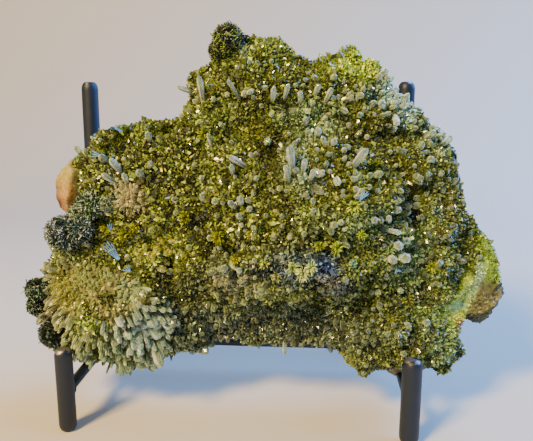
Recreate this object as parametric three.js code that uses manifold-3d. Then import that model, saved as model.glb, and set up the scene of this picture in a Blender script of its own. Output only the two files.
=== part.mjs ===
// A cluster of epidote and quartz crystals on its own rock, standing upright on a black steel easel.
// Millimetres, +Z up. X runs across the cluster, -Y is the side that the crystals face, the floor is z = 0.
import * as THREE from "three";
import { mergeVertices } from "three/addons/utils/BufferGeometryUtils.js";
import Module from "manifold-3d";

const wasm = await Module();
wasm.setup();
const V = (x, y, z) => new THREE.Vector3(x, y, z);

// Driving dimensions of the easel.
const EASEL_X = -9;
const FRAME_SPAN = 124;
const POST_Y = -44;
const POST_TOP = 32;
const LEFT_POST_RADIUS = 3.2;
const RIGHT_POST_RADIUS = 3.5;
const UPRIGHT_RADIUS = 3.2;
const UPRIGHT_Y = POST_Y + 40;
const UPRIGHT_TOP = 126;
const LEAN = Math.tan(THREE.MathUtils.degToRad(1.5));
const RAIL_RADIUS = 2;
const RAIL_Z = 15;
const RAIL_END_Y = POST_Y + 49;
const REAR_LEG_RADIUS = 2.6;
const REAR_LEG_TOP = 64;
const REAR_FOOT_Y = POST_Y + 95;
const REAR_BAR_Z = 17;
const FOOT_FLAT_RADIUS = 1.5;
const GAP = 0.3;
const ROD_SIDES = 12;
const SHIFT_X = 1.2;

// Driving dimensions of the cluster. Its outline is the rock's edge, seen from the front.
const CENTRE = { x: 2, z: 80 };
const FRONT_Y = POST_Y + 11;
const BACK_Y = POST_Y + 36.5;
const REST_Z = RAIL_Z + RAIL_RADIUS;
const OUTLINE = [
  [-15, 134], [-8, 139], [0, 140], [6, 138], [12, 134], [18, 132], [24, 134], [30, 136],
  [35, 134], [40, 130], [43, 125], [49, 119], [57, 113], [63, 107], [68, 101], [70, 92],
  [71, 82], [76, 75], [82, 69], [85, 61], [86, 53], [83, 44], [76, 40], [73, 34],
  [75, 27], [69, 19], [60, 19], [52, 20], [45, 20], [38, 17], [34, 22], [28, 28],
  [19, 29], [10, 28], [0, 28], [-9, 29], [-18, 28], [-27, 26], [-37, 23], [-46, 19],
  [-55, 17], [-63, 20], [-71, 23], [-79, 26], [-85, 31], [-88, 39], [-89, 47], [-85, 54],
  [-81, 62], [-78, 70], [-76, 78], [-75, 86], [-73, 94], [-69, 101], [-62, 106], [-55, 110],
  [-46, 112], [-37, 112], [-29, 113], [-26, 120], [-25, 127], [-20, 132],
];

// Swells and hollows of the crystal face: the middle, the reach across and up, the height forward, and
// how steep the edge is.
const SWELLS = [
  { at: "whole face", x: 0, z: 82, across: 72, up: 50, rise: 5, edge: 1 },
  { at: "middle mass", x: 12, z: 80, across: 36, up: 29, rise: 9, edge: 3 },
  { at: "bright crest", x: 22, z: 88, across: 20, up: 18, rise: 4, edge: 1.2 },
  { at: "rosette shelf", x: 12, z: 61, across: 26, up: 11, rise: 4, edge: 2 },
  { at: "quartz fan", x: -58, z: 45, across: 25, up: 22, rise: 11, edge: 1.4 },
  { at: "left shoulder", x: -46, z: 92, across: 22, up: 16, rise: 5, edge: 1.4 },
  { at: "top lobe", x: -6, z: 128, across: 19, up: 14, rise: 6, edge: 1.6 },
  { at: "upper right", x: 34, z: 122, across: 16, up: 12, rise: 4, edge: 1.4 },
  { at: "lower right lobe", x: 46, z: 33, across: 22, up: 12, rise: 6, edge: 1.6 },
  { at: "crevice by the fan", x: -34, z: 57, across: 6, up: 16, rise: -7, edge: 1.2 },
  { at: "notch right of the mass", x: 49, z: 80, across: 7, up: 14, rise: -4, edge: 1.2 },
  { at: "undercut below the shelf", x: 2, z: 38, across: 34, up: 12, rise: -6, edge: 1.6 },
  { at: "right ledge", x: 80, z: 56, across: 13, up: 26, rise: -9, edge: 2.2 },
];

// A number from 0 to 1 that looks random and is the same each time.
function chance(k) {
  const v = Math.sin(k * 127.1 + 311.7) * 43758.5453;
  return v - Math.floor(v);
}

// Smooth noise of about -1 to 1, from three crossed waves at that wavelength.
function ripple(x, z, wavelength, phase) {
  const k = (2 * Math.PI) / wavelength;
  const first = Math.sin(k * (x + 0.35 * z) + phase);
  const second = Math.sin(k * (0.9 * z - 0.4 * x) + 1.7 * phase);
  const third = Math.sin(k * (0.62 * x - 0.78 * z) + 2.9 * phase);
  return (first + second + third) / 3;
}

// The outline's distance from the centre in a direction, straight from one point to the next.
const RIM = OUTLINE.map(([x, z]) => ({ x: x - CENTRE.x, z: z - CENTRE.z, angle: 0 }));
for (const p of RIM) p.angle = Math.atan2(p.z, p.x);
RIM.sort((a, b) => a.angle - b.angle);

function rimReach(direction) {
  const angle = Math.atan2(Math.sin(direction), Math.cos(direction));
  const next = RIM.findIndex((p) => p.angle > angle);
  const b = RIM[Math.max(next, 0)];
  const a = RIM[(Math.max(next, 0) + RIM.length - 1) % RIM.length];
  const cos = Math.cos(angle);
  const sin = Math.sin(angle);
  const along = (a.z * cos - a.x * sin) / ((b.x - a.x) * sin - (b.z - a.z) * cos);
  return Math.hypot(a.x + along * (b.x - a.x), a.z + along * (b.z - a.z));
}

// How far the crystal face stands forward of its plane.
function swell(x, z) {
  let rise = 1.6 * ripple(x, z, 21, 0.6) + 1.1 * ripple(x, z, 11, 2.1);
  for (const s of SWELLS) {
    const away = Math.hypot((x - s.x) / s.across, (z - s.z) / s.up);
    rise += s.rise * Math.exp(-(away ** (2 * s.edge)));
  }
  return rise;
}

// How far a place leans back with its height above the rails.
const leanBack = (z) => LEAN * (z - REST_Z);

// Where a place is on the face: 0 at the centre and 1 at the rim.
function shareAt(x, z) {
  const angle = Math.atan2(z - CENTRE.z, x - CENTRE.x);
  return Math.hypot(x - CENTRE.x, z - CENTRE.z) / rimReach(angle);
}

// The crystal face, which rounds back into the edge at its rim.
function facePoint(x, z) {
  const share = Math.min(1, shareAt(x, z));
  const forward = swell(x, z) * (1 - 0.75 * share ** 8);
  return V(x, FRONT_Y - forward + 7 * share ** 7 + leanBack(z), z);
}

// The place in a direction from the centre. Near the centre the rings are round, and at the rim they
// follow the outline.
function placeAt(share, angle) {
  const reach = share * (64 + (rimReach(angle) - 64) * share * share);
  return [CENTRE.x + reach * Math.cos(angle), CENTRE.z + reach * Math.sin(angle)];
}

// The broken edge: depth is 0 at the rim and 1 at the back. It draws in toward the back in steps, and
// the underside slopes down as it goes back.
function edgePoint(depth, angle, broken) {
  const rim = facePoint(...placeAt(1, angle));
  const under = Math.max(0, -Math.sin(angle)) ** 2;
  const inward = 1 - 0.07 * depth * broken;
  return V(
    CENTRE.x + (rim.x - CENTRE.x) * inward,
    rim.y + (BACK_Y - 3 + leanBack(rim.z) - rim.y) * depth,
    CENTRE.z + (rim.z - CENTRE.z) * inward - 3 * under * depth,
  );
}

// The broken back, hollowed here and there: share is 1 at its edge and 0 at its middle.
function backPoint(share, angle, broken) {
  const edge = edgePoint(1, angle, 0.5);
  const x = CENTRE.x + (edge.x - CENTRE.x) * share;
  const z = CENTRE.z + (edge.z - CENTRE.z) * share;
  const hump = (1 - share ** 4) * (3 - 4 * broken);
  return V(x, BACK_Y - 3 + hump + leanBack(z), z);
}

// A closed solid from a three.js geometry.
function solid(geometry) {
  const bare = geometry.index ? geometry.toNonIndexed() : geometry.clone();
  for (const name of Object.keys(bare.attributes)) {
    if (name !== "position") bare.deleteAttribute(name);
  }
  const merged = mergeVertices(bare, 1e-4);
  return new wasm.Manifold(new wasm.Mesh({
    numProp: 3,
    vertProperties: merged.attributes.position.array,
    triVerts: new Uint32Array(merged.index.array),
  }));
}

function geometryFrom(points, triangles) {
  const geometry = new THREE.BufferGeometry().setFromPoints(points);
  geometry.setIndex(triangles);
  return geometry;
}

// Laces a ring of points to the next one out, or to its single middle point, with triangles.
function lace(triangles, innerStart, inner, outerStart, outer) {
  let i = 0;
  let j = 0;
  const innerSteps = inner === 1 ? 0 : inner;
  const outerSteps = outer === 1 ? 0 : outer;
  while (i < innerSteps || j < outerSteps) {
    const a = innerStart + (i % inner);
    const b = outerStart + (j % outer);
    const outward = i >= innerSteps || (j < outerSteps && (j + 0.5) / outer < (i + 0.5) / inner);
    if (outward) {
      triangles.push(a, b, outerStart + ((j + 1) % outer));
      j += 1;
    } else {
      triangles.push(a, b, innerStart + ((i + 1) % inner));
      i += 1;
    }
  }
}

// The rock: rings from the middle of the face, over the rim, to the middle of the back, each with as
// many points as its size asks for. The face is lumpy all over.
function rock() {
  const faceRings = 11;
  const rings = [];
  for (let i = 0; i <= faceRings; i += 1) {
    const lump = i < faceRings ? 1.5 : 0;
    const height = (j) => V(0, lump * (chance(17 * i + 5 * j) - 0.5), 0);
    const at = (angle, j) => facePoint(...placeAt(i / faceRings, angle)).add(height(j));
    rings.push({ count: Math.max(1, 6 * i), at });
  }
  for (const depth of [0.3, 0.62, 1]) {
    const at = (angle, j) => edgePoint(depth, angle, chance(11 * j + 70 * depth));
    rings.push({ count: 6 * faceRings - 10, at });
  }
  for (const [count, share] of [[44, 0.83], [32, 0.62], [20, 0.4], [9, 0.18], [1, 0]]) {
    rings.push({ count, at: (angle, j) => backPoint(share, angle, chance(13 * j + count)) });
  }
  const points = [];
  const triangles = [];
  let before = 0;
  rings.forEach((ring, r) => {
    const start = points.length;
    for (let j = 0; j < ring.count; j += 1) points.push(ring.at((2 * Math.PI * j) / ring.count, j));
    if (r > 0) lace(triangles, before, rings[r - 1].count, start, ring.count);
    before = start;
  });
  return solid(geometryFrom(points, triangles));
}

// A prism along +Z with its foot at z = 0. Each corner may stop short of the length, and the end rises
// to one point or to a ridge between two.
function prism(corners, length, tips) {
  const n = corners.length;
  const points = corners.map(([x, y]) => V(x, y, 0));
  for (const [x, y, short] of corners) points.push(V(x, y, length - (short ?? 0)));
  for (const tip of tips) points.push(V(...tip));
  const nearestTip = ([x, y]) => {
    const away = tips.map((tip) => Math.hypot(tip[0] - x, tip[1] - y));
    return 2 * n + away.indexOf(Math.min(...away));
  };
  const triangles = [];
  for (let i = 0; i < n; i += 1) {
    const j = (i + 1) % n;
    const p = nearestTip(corners[i]);
    const q = nearestTip(corners[j]);
    triangles.push(i, j, n + j, i, n + j, n + i, n + i, n + j, q);
    if (p !== q) triangles.push(n + i, q, p);
    if (i > 0 && i < n - 1) triangles.push(0, i + 1, i);
  }
  return geometryFrom(points, triangles);
}

// A quartz point: six sides, and a six-faced tip a little off its axis.
function quartzPoint(radius, length, k) {
  const corners = [];
  for (let i = 0; i < 6; i += 1) {
    const a = (i * Math.PI) / 3;
    corners.push([radius * Math.cos(a), radius * Math.sin(a), 0.4 * radius * chance(k + i)]);
  }
  const aside = (j) => 0.4 * radius * (chance(k + j) - 0.5);
  return prism(corners, length, [[aside(7), aside(8), length + 1.1 * radius]]);
}

// An epidote blade: a flattened four-sided prism that ends in a slanting ridge.
function epidoteBlade(width, thickness, length, k) {
  const w = width / 2;
  const t = thickness / 2;
  const corners = [[w, 0], [0.2 * w, t], [-w, 0], [-0.2 * w, -t]];
  const slant = 0.16 * length * chance(k + 3);
  const ridge = length + 0.5 * w;
  return prism(corners, length, [[0.5 * w, 0, ridge + slant], [-0.5 * w, 0, ridge - slant]]);
}

// Stands a crystal on a place, with its foot sunk in, along a direction and turned about it.
function stand(geometry, place, direction, sunk, turn) {
  const spin = new THREE.Quaternion().setFromAxisAngle(V(0, 0, 1), turn);
  const aim = new THREE.Quaternion().setFromUnitVectors(V(0, 0, 1), direction).multiply(spin);
  const foot = place.clone().addScaledVector(direction, -sunk);
  return solid(geometry.applyMatrix4(new THREE.Matrix4().compose(foot, aim, V(1, 1, 1))));
}

// The outward direction of the crystal face, turned toward the outline near the rim.
function faceNormal(x, z) {
  const step = 1.5;
  const across = facePoint(x + step, z).sub(facePoint(x - step, z));
  const up = facePoint(x, z + step).sub(facePoint(x, z - step));
  const normal = across.cross(up).normalize();
  const outward = V(x - CENTRE.x, 0, z - CENTRE.z).normalize();
  return normal.addScaledVector(outward, 1.1 * Math.min(1, shareAt(x, z)) ** 6).normalize();
}

// The quartz points that stand out by themselves: the place, radius and length, and the lean across and up.
const SINGLE_QUARTZ = [
  [-20, 120, 1.6, 7, -0.1, 1.8], [-8, 121, 1.3, 5, -0.8, 1.2], [4, 120, 1.6, 4, 0.2, 0.9],
  [8, 121, 1.5, 4, 0.2, 0.9], [13, 119, 1.6, 4, 0.1, 0.8], [18, 121, 1.5, 4, 0.3, 0.8],
  [22, 120, 1.4, 4, 0.4, 0.9], [-5, 98, 1.8, 6, -1.1, 0.9], [11, 99, 2.2, 7, -0.2, 1.5],
  [33, 100, 2.3, 7, 0.8, 1.2], [-17, 104, 1.4, 5, -0.3, 1], [-9, 96, 1.5, 4, 0, 0.6],
  [19, 108, 1.6, 3, 0, 0.4], [15, 112, 1.3, 3, 0, 0.5], [47, 77, 1.6, 5, -1.4, -0.2],
  [50, 68, 2.6, 5, 0.7, 0.1], [51, 64, 2.4, 5, 0.9, -0.1], [41, 117, 1.8, 4, -0.2, 0.2],
  [45, 114, 1.7, 4, 0.1, -0.3], [57, 107, 1.6, 3, 0.8, 0.8], [64, 104, 1.5, 4, 1.2, 1.4],
  [57, 99, 1.4, 3, 0.2, 0.3], [-52, 98, 1.8, 6, -0.5, 1.4], [-55, 93, 1.4, 5, -0.8, 1.1],
  [-48, 93, 1.4, 6, 0.1, 1.2], [-25, 122, 1.7, 5, -1.8, 0.8], [-6, 86, 1.6, 3, 0, 0.6],
  [-6, 81, 1.6, 3, -0.2, 0.4], [8, 30, 1.4, 5, 0.1, -1.8], [58, 42, 1.8, 3, 0.2, 0.1],
];

function singleQuartz() {
  return SINGLE_QUARTZ.map(([x, z, radius, length, across, up], k) => {
    const direction = V(across, -1.3, up).normalize();
    const point = quartzPoint(radius, length + 3, 50 * k);
    return stand(point, facePoint(x, z), direction, 3, 3 * chance(k));
  });
}

// The quartz fan at the lower left: points that lean further out the further they are from its heart.
const FAN = { x: -60, z: 46, across: 25, up: 25 };

function quartzFan() {
  const points = [];
  const count = 34;
  for (let k = 0; k < count; k += 1) {
    const turn = 2.39996 * k;
    const reach = Math.sqrt((k + 3) / (count + 2));
    const x = FAN.x + FAN.across * reach * Math.cos(turn);
    const z = FAN.z + FAN.up * reach * Math.sin(turn);
    if (shareAt(x, z) > 1.04 || z > 62) continue;
    const direction = V(1.7 * reach * Math.cos(turn), -1.1, 1.7 * reach * Math.sin(turn)).normalize();
    const length = 6 + 3.5 * reach + 1.5 * chance(k + 400);
    const point = quartzPoint(1.3 + 0.6 * chance(k + 900), length, 31 * k);
    points.push(stand(point, facePoint(x, z), direction, 3, k));
  }
  return points;
}

// Rosettes of epidote: blades that open like petals round the middle of each.
const ROSETTES = [[15, 58, 6], [-14, 74, 5], [26, 72, 5], [38, 98, 5]];

function rosettes() {
  const blades = [];
  ROSETTES.forEach(([x, z, reach], r) => {
    for (let k = 0; k < 5; k += 1) {
      const turn = (k + 0.4 * chance(9 * r + k)) * (Math.PI / 2.5);
      const direction = V(Math.cos(turn), -0.75, Math.sin(turn)).normalize();
      const place = facePoint(x + Math.cos(turn), z + Math.sin(turn));
      const blade = epidoteBlade(0.9 * reach, 0.4 * reach, 1.1 * reach + 2, 10 * r + k);
      blades.push(stand(blade, place, direction, 2, turn));
    }
  });
  return blades;
}

// Epidote blades over the rest of the face, spread evenly on a sunflower spiral.
function epidoteCover() {
  const blades = [];
  const count = 94;
  for (let k = 0; k < count; k += 1) {
    const angle = 2.39996 * k;
    const reach = Math.min(0.99, Math.sqrt((k + 0.5) / count)) * rimReach(angle);
    const x = CENTRE.x + reach * Math.cos(angle);
    const z = CENTRE.z + reach * Math.sin(angle);
    const nearFan = Math.hypot((x - FAN.x) / FAN.across, (z - FAN.z) / FAN.up) < 1 && z < 62;
    const nearRosette = ROSETTES.some((r) => Math.hypot(x - r[0], z - r[1]) < 1.3 * r[2]);
    if (nearFan || nearRosette) continue;
    const direction = faceNormal(x, z);
    direction.x += 1.1 * (chance(k + 20) - 0.5);
    direction.z += 1.1 * (chance(k + 70) - 0.5);
    const width = (5.5 + 3.5 * chance(k + 130)) * (1 - 0.35 * shareAt(x, z) ** 6);
    const blade = epidoteBlade(width, 0.62 * width, 4.6 + 2 * chance(k + 210), k);
    blades.push(stand(blade, facePoint(x, z), direction.normalize(), 2.4, 6 * chance(k + 310)));
  }
  return blades;
}

// A ball of radiating needles, as its core with the longest needles drawn out.
function needleBall(x, y, z, radius) {
  const ball = new THREE.IcosahedronGeometry(radius, 1);
  const at = ball.attributes.position;
  for (let i = 0; i < at.count; i += 1) {
    const p = V().fromBufferAttribute(at, i);
    const seed = Math.round(p.x * 40) + 3 * Math.round(p.y * 40) + 7 * Math.round(p.z * 40);
    p.multiplyScalar(0.8 + 0.4 * chance(seed));
    at.setXYZ(i, p.x, p.y, p.z);
  }
  return solid(ball.translate(x, y, z));
}

// A lump of broken rock with flat faces.
function rockLump(x, y, z, across, deep, high, k) {
  const lump = new THREE.DodecahedronGeometry(1, 0);
  lump.rotateX(3 * chance(k)).rotateZ(3 * chance(k + 1));
  return solid(lump.scale(across, deep, high).translate(x, y, z));
}

const LEFT_X = EASEL_X - FRAME_SPAN / 2;
const RIGHT_X = EASEL_X + FRAME_SPAN / 2;

// Lumps on the edge: the dark needle balls, the bare rock at the left and right, and the two lumps of
// rock on which the cluster stands on its rails.
function edgeLumps() {
  return [
    needleBall(-13, POST_Y + 15, 139.5, 5.8),
    needleBall(-70, POST_Y + 6, 73, 6.4),
    needleBall(-83.5, POST_Y + 12, 47, 5.2),
    needleBall(-79, POST_Y + 15, 34, 6.2),
    rockLump(-73, BACK_Y - 9, 86, 9, 9, 13, 3),
    rockLump(RIGHT_X, BACK_Y - 9, 94, 9, 9, 12, 5),
    rockLump(80, BACK_Y - 9, 46, 8, 8, 9, 8),
    rockLump(LEFT_X, BACK_Y - 9, 25, 8, 8.5, 12, 12),
    rockLump(RIGHT_X, BACK_Y - 9, 24, 11, 8.5, 12, 17),
  ];
}

// A round rod from one point to another. A round end has a small flat in its middle.
function rodGeometry(from, to, radius, roundFrom, roundTo) {
  const length = from.distanceTo(to);
  const flatEnd = [[0, 0], [radius, 0]];
  const roundEnd = [[0, 0], [FOOT_FLAT_RADIUS, 0], [0.86 * radius, 0.42 * radius], [radius, 1.1 * radius]];
  const start = (roundFrom ? roundEnd : flatEnd).map(([r, h]) => new THREE.Vector2(r, h));
  const end = (roundTo ? roundEnd : flatEnd).map(([r, h]) => new THREE.Vector2(r, length - h)).reverse();
  const geometry = new THREE.LatheGeometry([...start, ...end], ROD_SIDES).rotateX(Math.PI / 2);
  const aim = new THREE.Quaternion().setFromUnitVectors(V(0, 0, 1), to.clone().sub(from).normalize());
  return geometry.applyQuaternion(aim).translate(from.x, from.y, from.z);
}

const uprightY = (z) => UPRIGHT_Y + LEAN * (z - RAIL_Z);

// The rods of one side frame: the post and the upright, the rail between them and the rear leg.
function sideRods(side, x, postRadius) {
  const footZ = REST_Z + GAP;
  const legTopY = uprightY(REAR_LEG_TOP) + UPRIGHT_RADIUS + REAR_LEG_RADIUS + 2 * GAP;
  return [{
    name: `${side}_front_post`, from: V(x, POST_Y, 0), to: V(x, POST_Y, POST_TOP),
    radius: postRadius, roundFrom: true, roundTo: true,
  }, {
    name: `${side}_rail`, from: V(x, POST_Y + postRadius + GAP, RAIL_Z), to: V(x, RAIL_END_Y, RAIL_Z),
    radius: RAIL_RADIUS, roundFrom: false, roundTo: false,
  }, {
    name: `${side}_upright`, from: V(x, uprightY(footZ), footZ), to: V(x, uprightY(UPRIGHT_TOP), UPRIGHT_TOP),
    radius: UPRIGHT_RADIUS, roundFrom: false, roundTo: true,
  }, {
    name: `${side}_rear_leg`, from: V(x, REAR_FOOT_Y, 0), to: V(x, legTopY, REAR_LEG_TOP),
    radius: REAR_LEG_RADIUS, roundFrom: false, roundTo: true,
  }];
}

// The two rods that tie the side frames together.
function crossRods(rearLeg) {
  const barY = RAIL_END_Y + RAIL_RADIUS + GAP;
  const rearY = rearLeg.from.y + ((rearLeg.to.y - rearLeg.from.y) * REAR_BAR_Z) / rearLeg.to.z;
  const inset = REAR_LEG_RADIUS + GAP;
  const plain = { radius: RAIL_RADIUS, roundFrom: false, roundTo: false };
  return [{
    name: "front_crossbar", ...plain,
    from: V(LEFT_X - RAIL_RADIUS, barY, RAIL_Z), to: V(RIGHT_X + RAIL_RADIUS, barY, RAIL_Z),
  }, {
    name: "rear_crossbar", ...plain,
    from: V(LEFT_X + inset, rearY, REAR_BAR_Z), to: V(RIGHT_X - inset, rearY, REAR_BAR_Z),
  }];
}

// A rear leg slopes, so it starts below the floor and is cut level with it.
function rodSolid(rod) {
  if (!rod.name.endsWith("rear_leg")) {
    return solid(rodGeometry(rod.from, rod.to, rod.radius, rod.roundFrom, rod.roundTo));
  }
  const along = rod.to.clone().sub(rod.from).normalize();
  const start = rod.from.clone().addScaledVector(along, -2 * rod.radius);
  const floor = new THREE.BoxGeometry(40, 40, 20).translate(rod.from.x, rod.from.y, -10);
  return solid(rodGeometry(start, rod.to, rod.radius, false, true)).subtract(solid(floor));
}

const group = new THREE.Group();

// Each node, shifted across so that the whole is centred on x = 0.
function addNode(name, made, look) {
  const { vertProperties, triVerts } = made.translate(SHIFT_X, 0, 0).getMesh();
  const geometry = new THREE.BufferGeometry();
  geometry.setAttribute("position", new THREE.BufferAttribute(vertProperties, 3));
  geometry.setIndex(new THREE.BufferAttribute(triVerts, 1));
  const mesh = new THREE.Mesh(geometry, new THREE.MeshStandardMaterial(look));
  mesh.name = name;
  group.add(mesh);
}

const sides = [
  ...sideRods("left", LEFT_X, LEFT_POST_RADIUS),
  ...sideRods("right", RIGHT_X, RIGHT_POST_RADIUS),
];
const rods = [...sides, ...crossRods(sides.find((rod) => rod.name === "left_rear_leg"))];
for (const rod of rods) addNode(rod.name, rodSolid(rod), { color: 0x2b2d30, roughness: 0.42, metalness: 0.3 });

// The cluster clears each rod by the gap.
const grown = wasm.Manifold.union([
  rock(), ...edgeLumps(), ...quartzFan(), ...singleQuartz(), ...rosettes(), ...epidoteCover(),
]);
const clearances = rods.map((rod) => solid(rodGeometry(rod.from, rod.to, rod.radius + GAP, false, false)));
const cluster = grown.subtract(wasm.Manifold.union(clearances));
addNode("epidote_cluster", cluster, { color: 0x6d6a24, roughness: 0.35, metalness: 0 });

export default group;
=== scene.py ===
import math

import bpy
import numpy as np
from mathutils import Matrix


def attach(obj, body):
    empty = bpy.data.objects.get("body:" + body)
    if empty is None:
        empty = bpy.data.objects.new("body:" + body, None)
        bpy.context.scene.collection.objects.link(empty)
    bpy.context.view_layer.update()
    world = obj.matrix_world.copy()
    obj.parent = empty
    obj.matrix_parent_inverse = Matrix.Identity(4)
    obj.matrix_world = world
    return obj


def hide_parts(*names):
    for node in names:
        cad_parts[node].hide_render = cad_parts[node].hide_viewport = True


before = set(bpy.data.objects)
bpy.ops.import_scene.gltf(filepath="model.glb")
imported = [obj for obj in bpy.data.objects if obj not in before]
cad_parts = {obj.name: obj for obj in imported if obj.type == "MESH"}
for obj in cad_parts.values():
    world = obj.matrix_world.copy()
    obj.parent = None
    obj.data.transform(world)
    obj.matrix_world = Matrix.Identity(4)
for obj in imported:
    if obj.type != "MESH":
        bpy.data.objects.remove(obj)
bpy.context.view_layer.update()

# The rock that the crystals grew on: an altered volcanic rock, broken off thin at its edge and back and
# lumpy on its face. Its form is the CAD cluster's, in millimetres, let in a little for the crystals.
MM = 0.001
# This puts the middle of the cluster and easel over the frame's origin.
SHIFT_X = 1.2
CENTRE_X, CENTRE_Z = 2.0, 80.0
FRONT_Y, BACK_Y, REST_Z = -33.0, -10.5, 17.0
LEAN = math.tan(math.radians(1.5))
# Near the centre the rock's rings are round, as if this were their reach at the rim.
ROUND_REACH = 64
# The back is narrower than the face by this share, lower at its foot, and swells toward its middle.
BACK_NARROWER, BACK_LOWER, BACK_SWELL = 0.035, 3, 1
OUTLINE = np.array([
    (-15, 135), (-8, 141.5), (0, 142), (6, 138.5), (12, 135), (18, 132.5), (24, 135.5), (30, 138),
    (35, 135), (40, 130.5), (43, 125), (49, 118.5), (57, 113.5), (63, 106.5), (69.5, 101.5), (71, 92),
    (71, 82), (77, 75), (83, 69), (86.5, 61), (87.5, 53), (83, 44), (76, 40), (72, 34),
    (76, 27), (70, 18), (60, 19), (52, 20), (45, 21), (38, 17), (34, 22), (28, 27),
    (19, 28), (10, 28), (0, 28), (-9, 29), (-18, 28), (-27, 25), (-37, 23), (-46, 19),
    (-55, 15.5), (-64, 18), (-71, 23), (-79, 26), (-84, 32), (-86, 40), (-88, 47), (-83, 54),
    (-81, 62), (-76, 70), (-72.5, 79), (-71.5, 87), (-71, 94), (-67, 100.5), (-62, 106), (-54.5, 109),
    (-45.5, 111), (-37, 112), (-29, 112.5), (-26.5, 121), (-26, 128), (-20, 132),
], float)
# x, z, reach across, reach up, height forward, steepness of the edge
SWELLS = {
    "whole face": (0, 82, 72, 50, 5, 1.0),
    "middle mass": (12, 80, 36, 29, 9, 3.0),
    "bright crest": (22, 88, 20, 18, 4, 1.2),
    "rosette shelf": (12, 61, 26, 11, 4, 2.0),
    "quartz fan": (-58, 45, 25, 22, 11, 1.4),
    "left shoulder": (-46, 92, 22, 16, 5, 1.4),
    "top lobe": (-6, 128, 19, 14, 6, 1.6),
    "upper right": (34, 122, 16, 12, 4, 1.4),
    "lower right lobe": (46, 33, 22, 12, 6, 1.6),
    "green knoll in the fan": (-59.5, 41.5, 7, 8, 3.6, 1.3),
    "crevice by the fan": (-33.5, 57, 3.5, 8, -5, 1.2),
    "notch right of the mass": (53, 79, 5, 8, -4, 1.2),
    "undercut below the shelf": (2, 38, 34, 12, -6, 1.6),
    "right ledge": (80, 56, 13, 26, -9, 2.2),
}
rim = OUTLINE - (CENTRE_X, CENTRE_Z)
rim = rim[np.argsort(np.arctan2(rim[:, 1], rim[:, 0]))]
rim_angle = np.arctan2(rim[:, 1], rim[:, 0])


def rim_reach(angle):
    """Distance from the centre to the outline: the chord between two neighbouring points, in polar form."""
    angle = np.arctan2(np.sin(angle), np.cos(angle))
    after = np.searchsorted(rim_angle, angle, side="right") % len(rim)
    a, b = rim[after - 1], rim[after]
    cos, sin = np.cos(angle), np.sin(angle)
    step = b - a
    along = (a[..., 1] * cos - a[..., 0] * sin) / (step[..., 0] * sin - step[..., 1] * cos)
    return np.hypot(a[..., 0] + along * step[..., 0], a[..., 1] + along * step[..., 1])


def rim_share(x, z):
    """How far out a place lies: 0 at the centre, 1 on the outline."""
    return np.hypot(x - CENTRE_X, z - CENTRE_Z) / rim_reach(np.arctan2(z - CENTRE_Z, x - CENTRE_X))


def ripple(x, z, wavelength, phase):
    """Smooth noise: the mean of three crossed sine waves of that wavelength."""
    k = 2 * math.pi / wavelength
    first = np.sin(k * (x + 0.35 * z) + phase)
    second = np.sin(k * (0.9 * z - 0.4 * x) + 1.7 * phase)
    return (first + second + np.sin(k * (0.62 * x - 0.78 * z) + 2.9 * phase)) / 3


def domes(x, z, cell, seed):
    """Round bumps that meet in sharp creases: 1 less the squared distance, in cells, to the nearest point
    of a jittered lattice."""
    lattice = 64
    jitter = np.random.default_rng(seed).random((lattice, lattice, 2))
    i, j = np.floor(x / cell).astype(int), np.floor(z / cell).astype(int)
    nearest = np.full(np.shape(x), 4.0)
    for across, up in np.ndindex(3, 3):
        spot = jitter[(i + across - 1) % lattice, (j + up - 1) % lattice]
        away_x = i + across - 1 + spot[..., 0] - x / cell
        away_z = j + up - 1 + spot[..., 1] - z / cell
        nearest = np.minimum(nearest, away_x**2 + away_z**2)
    return 1 - nearest


def oval(x, z, middle_x, middle_z, across, up):
    """How far a place lies from the middle of an oval: 1 on the oval itself."""
    return np.hypot((x - middle_x) / across, (z - middle_z) / up)


def within(x, z, middle_x, middle_z, across, up, power=3):
    """1 at the middle of an oval patch, falling smoothly to nothing outside it: a bell curve, the steeper
    the higher its power."""
    return np.exp(-oval(x, z, middle_x, middle_z, across, up) ** power)


def face_y(x, z):
    """Depth of the crystal face: the front plane, less the swells, rounded back near the rim and leaning."""
    share = np.minimum(rim_share(x, z), 1)
    rise = 1.6 * ripple(x, z, 21, 0.6) + 1.1 * ripple(x, z, 11, 2.1)
    for sx, sz, across, up, height, edge in SWELLS.values():
        rise = rise + height * within(x, z, sx, sz, across, up, 2 * edge)
    return FRONT_Y - rise * (1 - 0.75 * share**8) + 7 * share**7 + LEAN * (z - REST_Z)


def xyz(x, y, z):
    """Points, directions or sizes from their three parts, each an array or one number."""
    return np.stack(np.broadcast_arrays(x, y, z), -1)


def rock_form(turn, way):
    """A closed skin: way runs 0 to 1 over the face, 1 to 2 over the edge and 2 to 3 over the back, and
    turn is the direction from the centre. On the back the rings draw in to the centre."""
    share = np.minimum(way, 1)
    reach = share * (ROUND_REACH + (rim_reach(turn) - ROUND_REACH) * share**2)
    x, z = CENTRE_X + reach * np.cos(turn), CENTRE_Z + reach * np.sin(turn)
    y = face_y(x, z)
    depth = np.clip(way - 1, 0, 1)
    back = BACK_Y + LEAN * (z - REST_Z)
    x = CENTRE_X + (x - CENTRE_X) * (1 - BACK_NARROWER * depth)
    z = CENTRE_Z + (z - CENTRE_Z) * (1 - BACK_NARROWER * depth)
    z = z - BACK_LOWER * depth * np.maximum(0, -np.sin(turn)) ** 2
    y = y + (back - y) * depth
    left = 1 - np.clip(way - 2, 0, 1)
    y = y + BACK_SWELL * (1 - left**4)
    return xyz(CENTRE_X + (x - CENTRE_X) * left, y, CENTRE_Z + (z - CENTRE_Z) * left)


def unit(vectors):
    """The vectors scaled to length 1."""
    return vectors / np.maximum(np.linalg.norm(vectors, axis=-1, keepdims=True), 1e-9)


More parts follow.
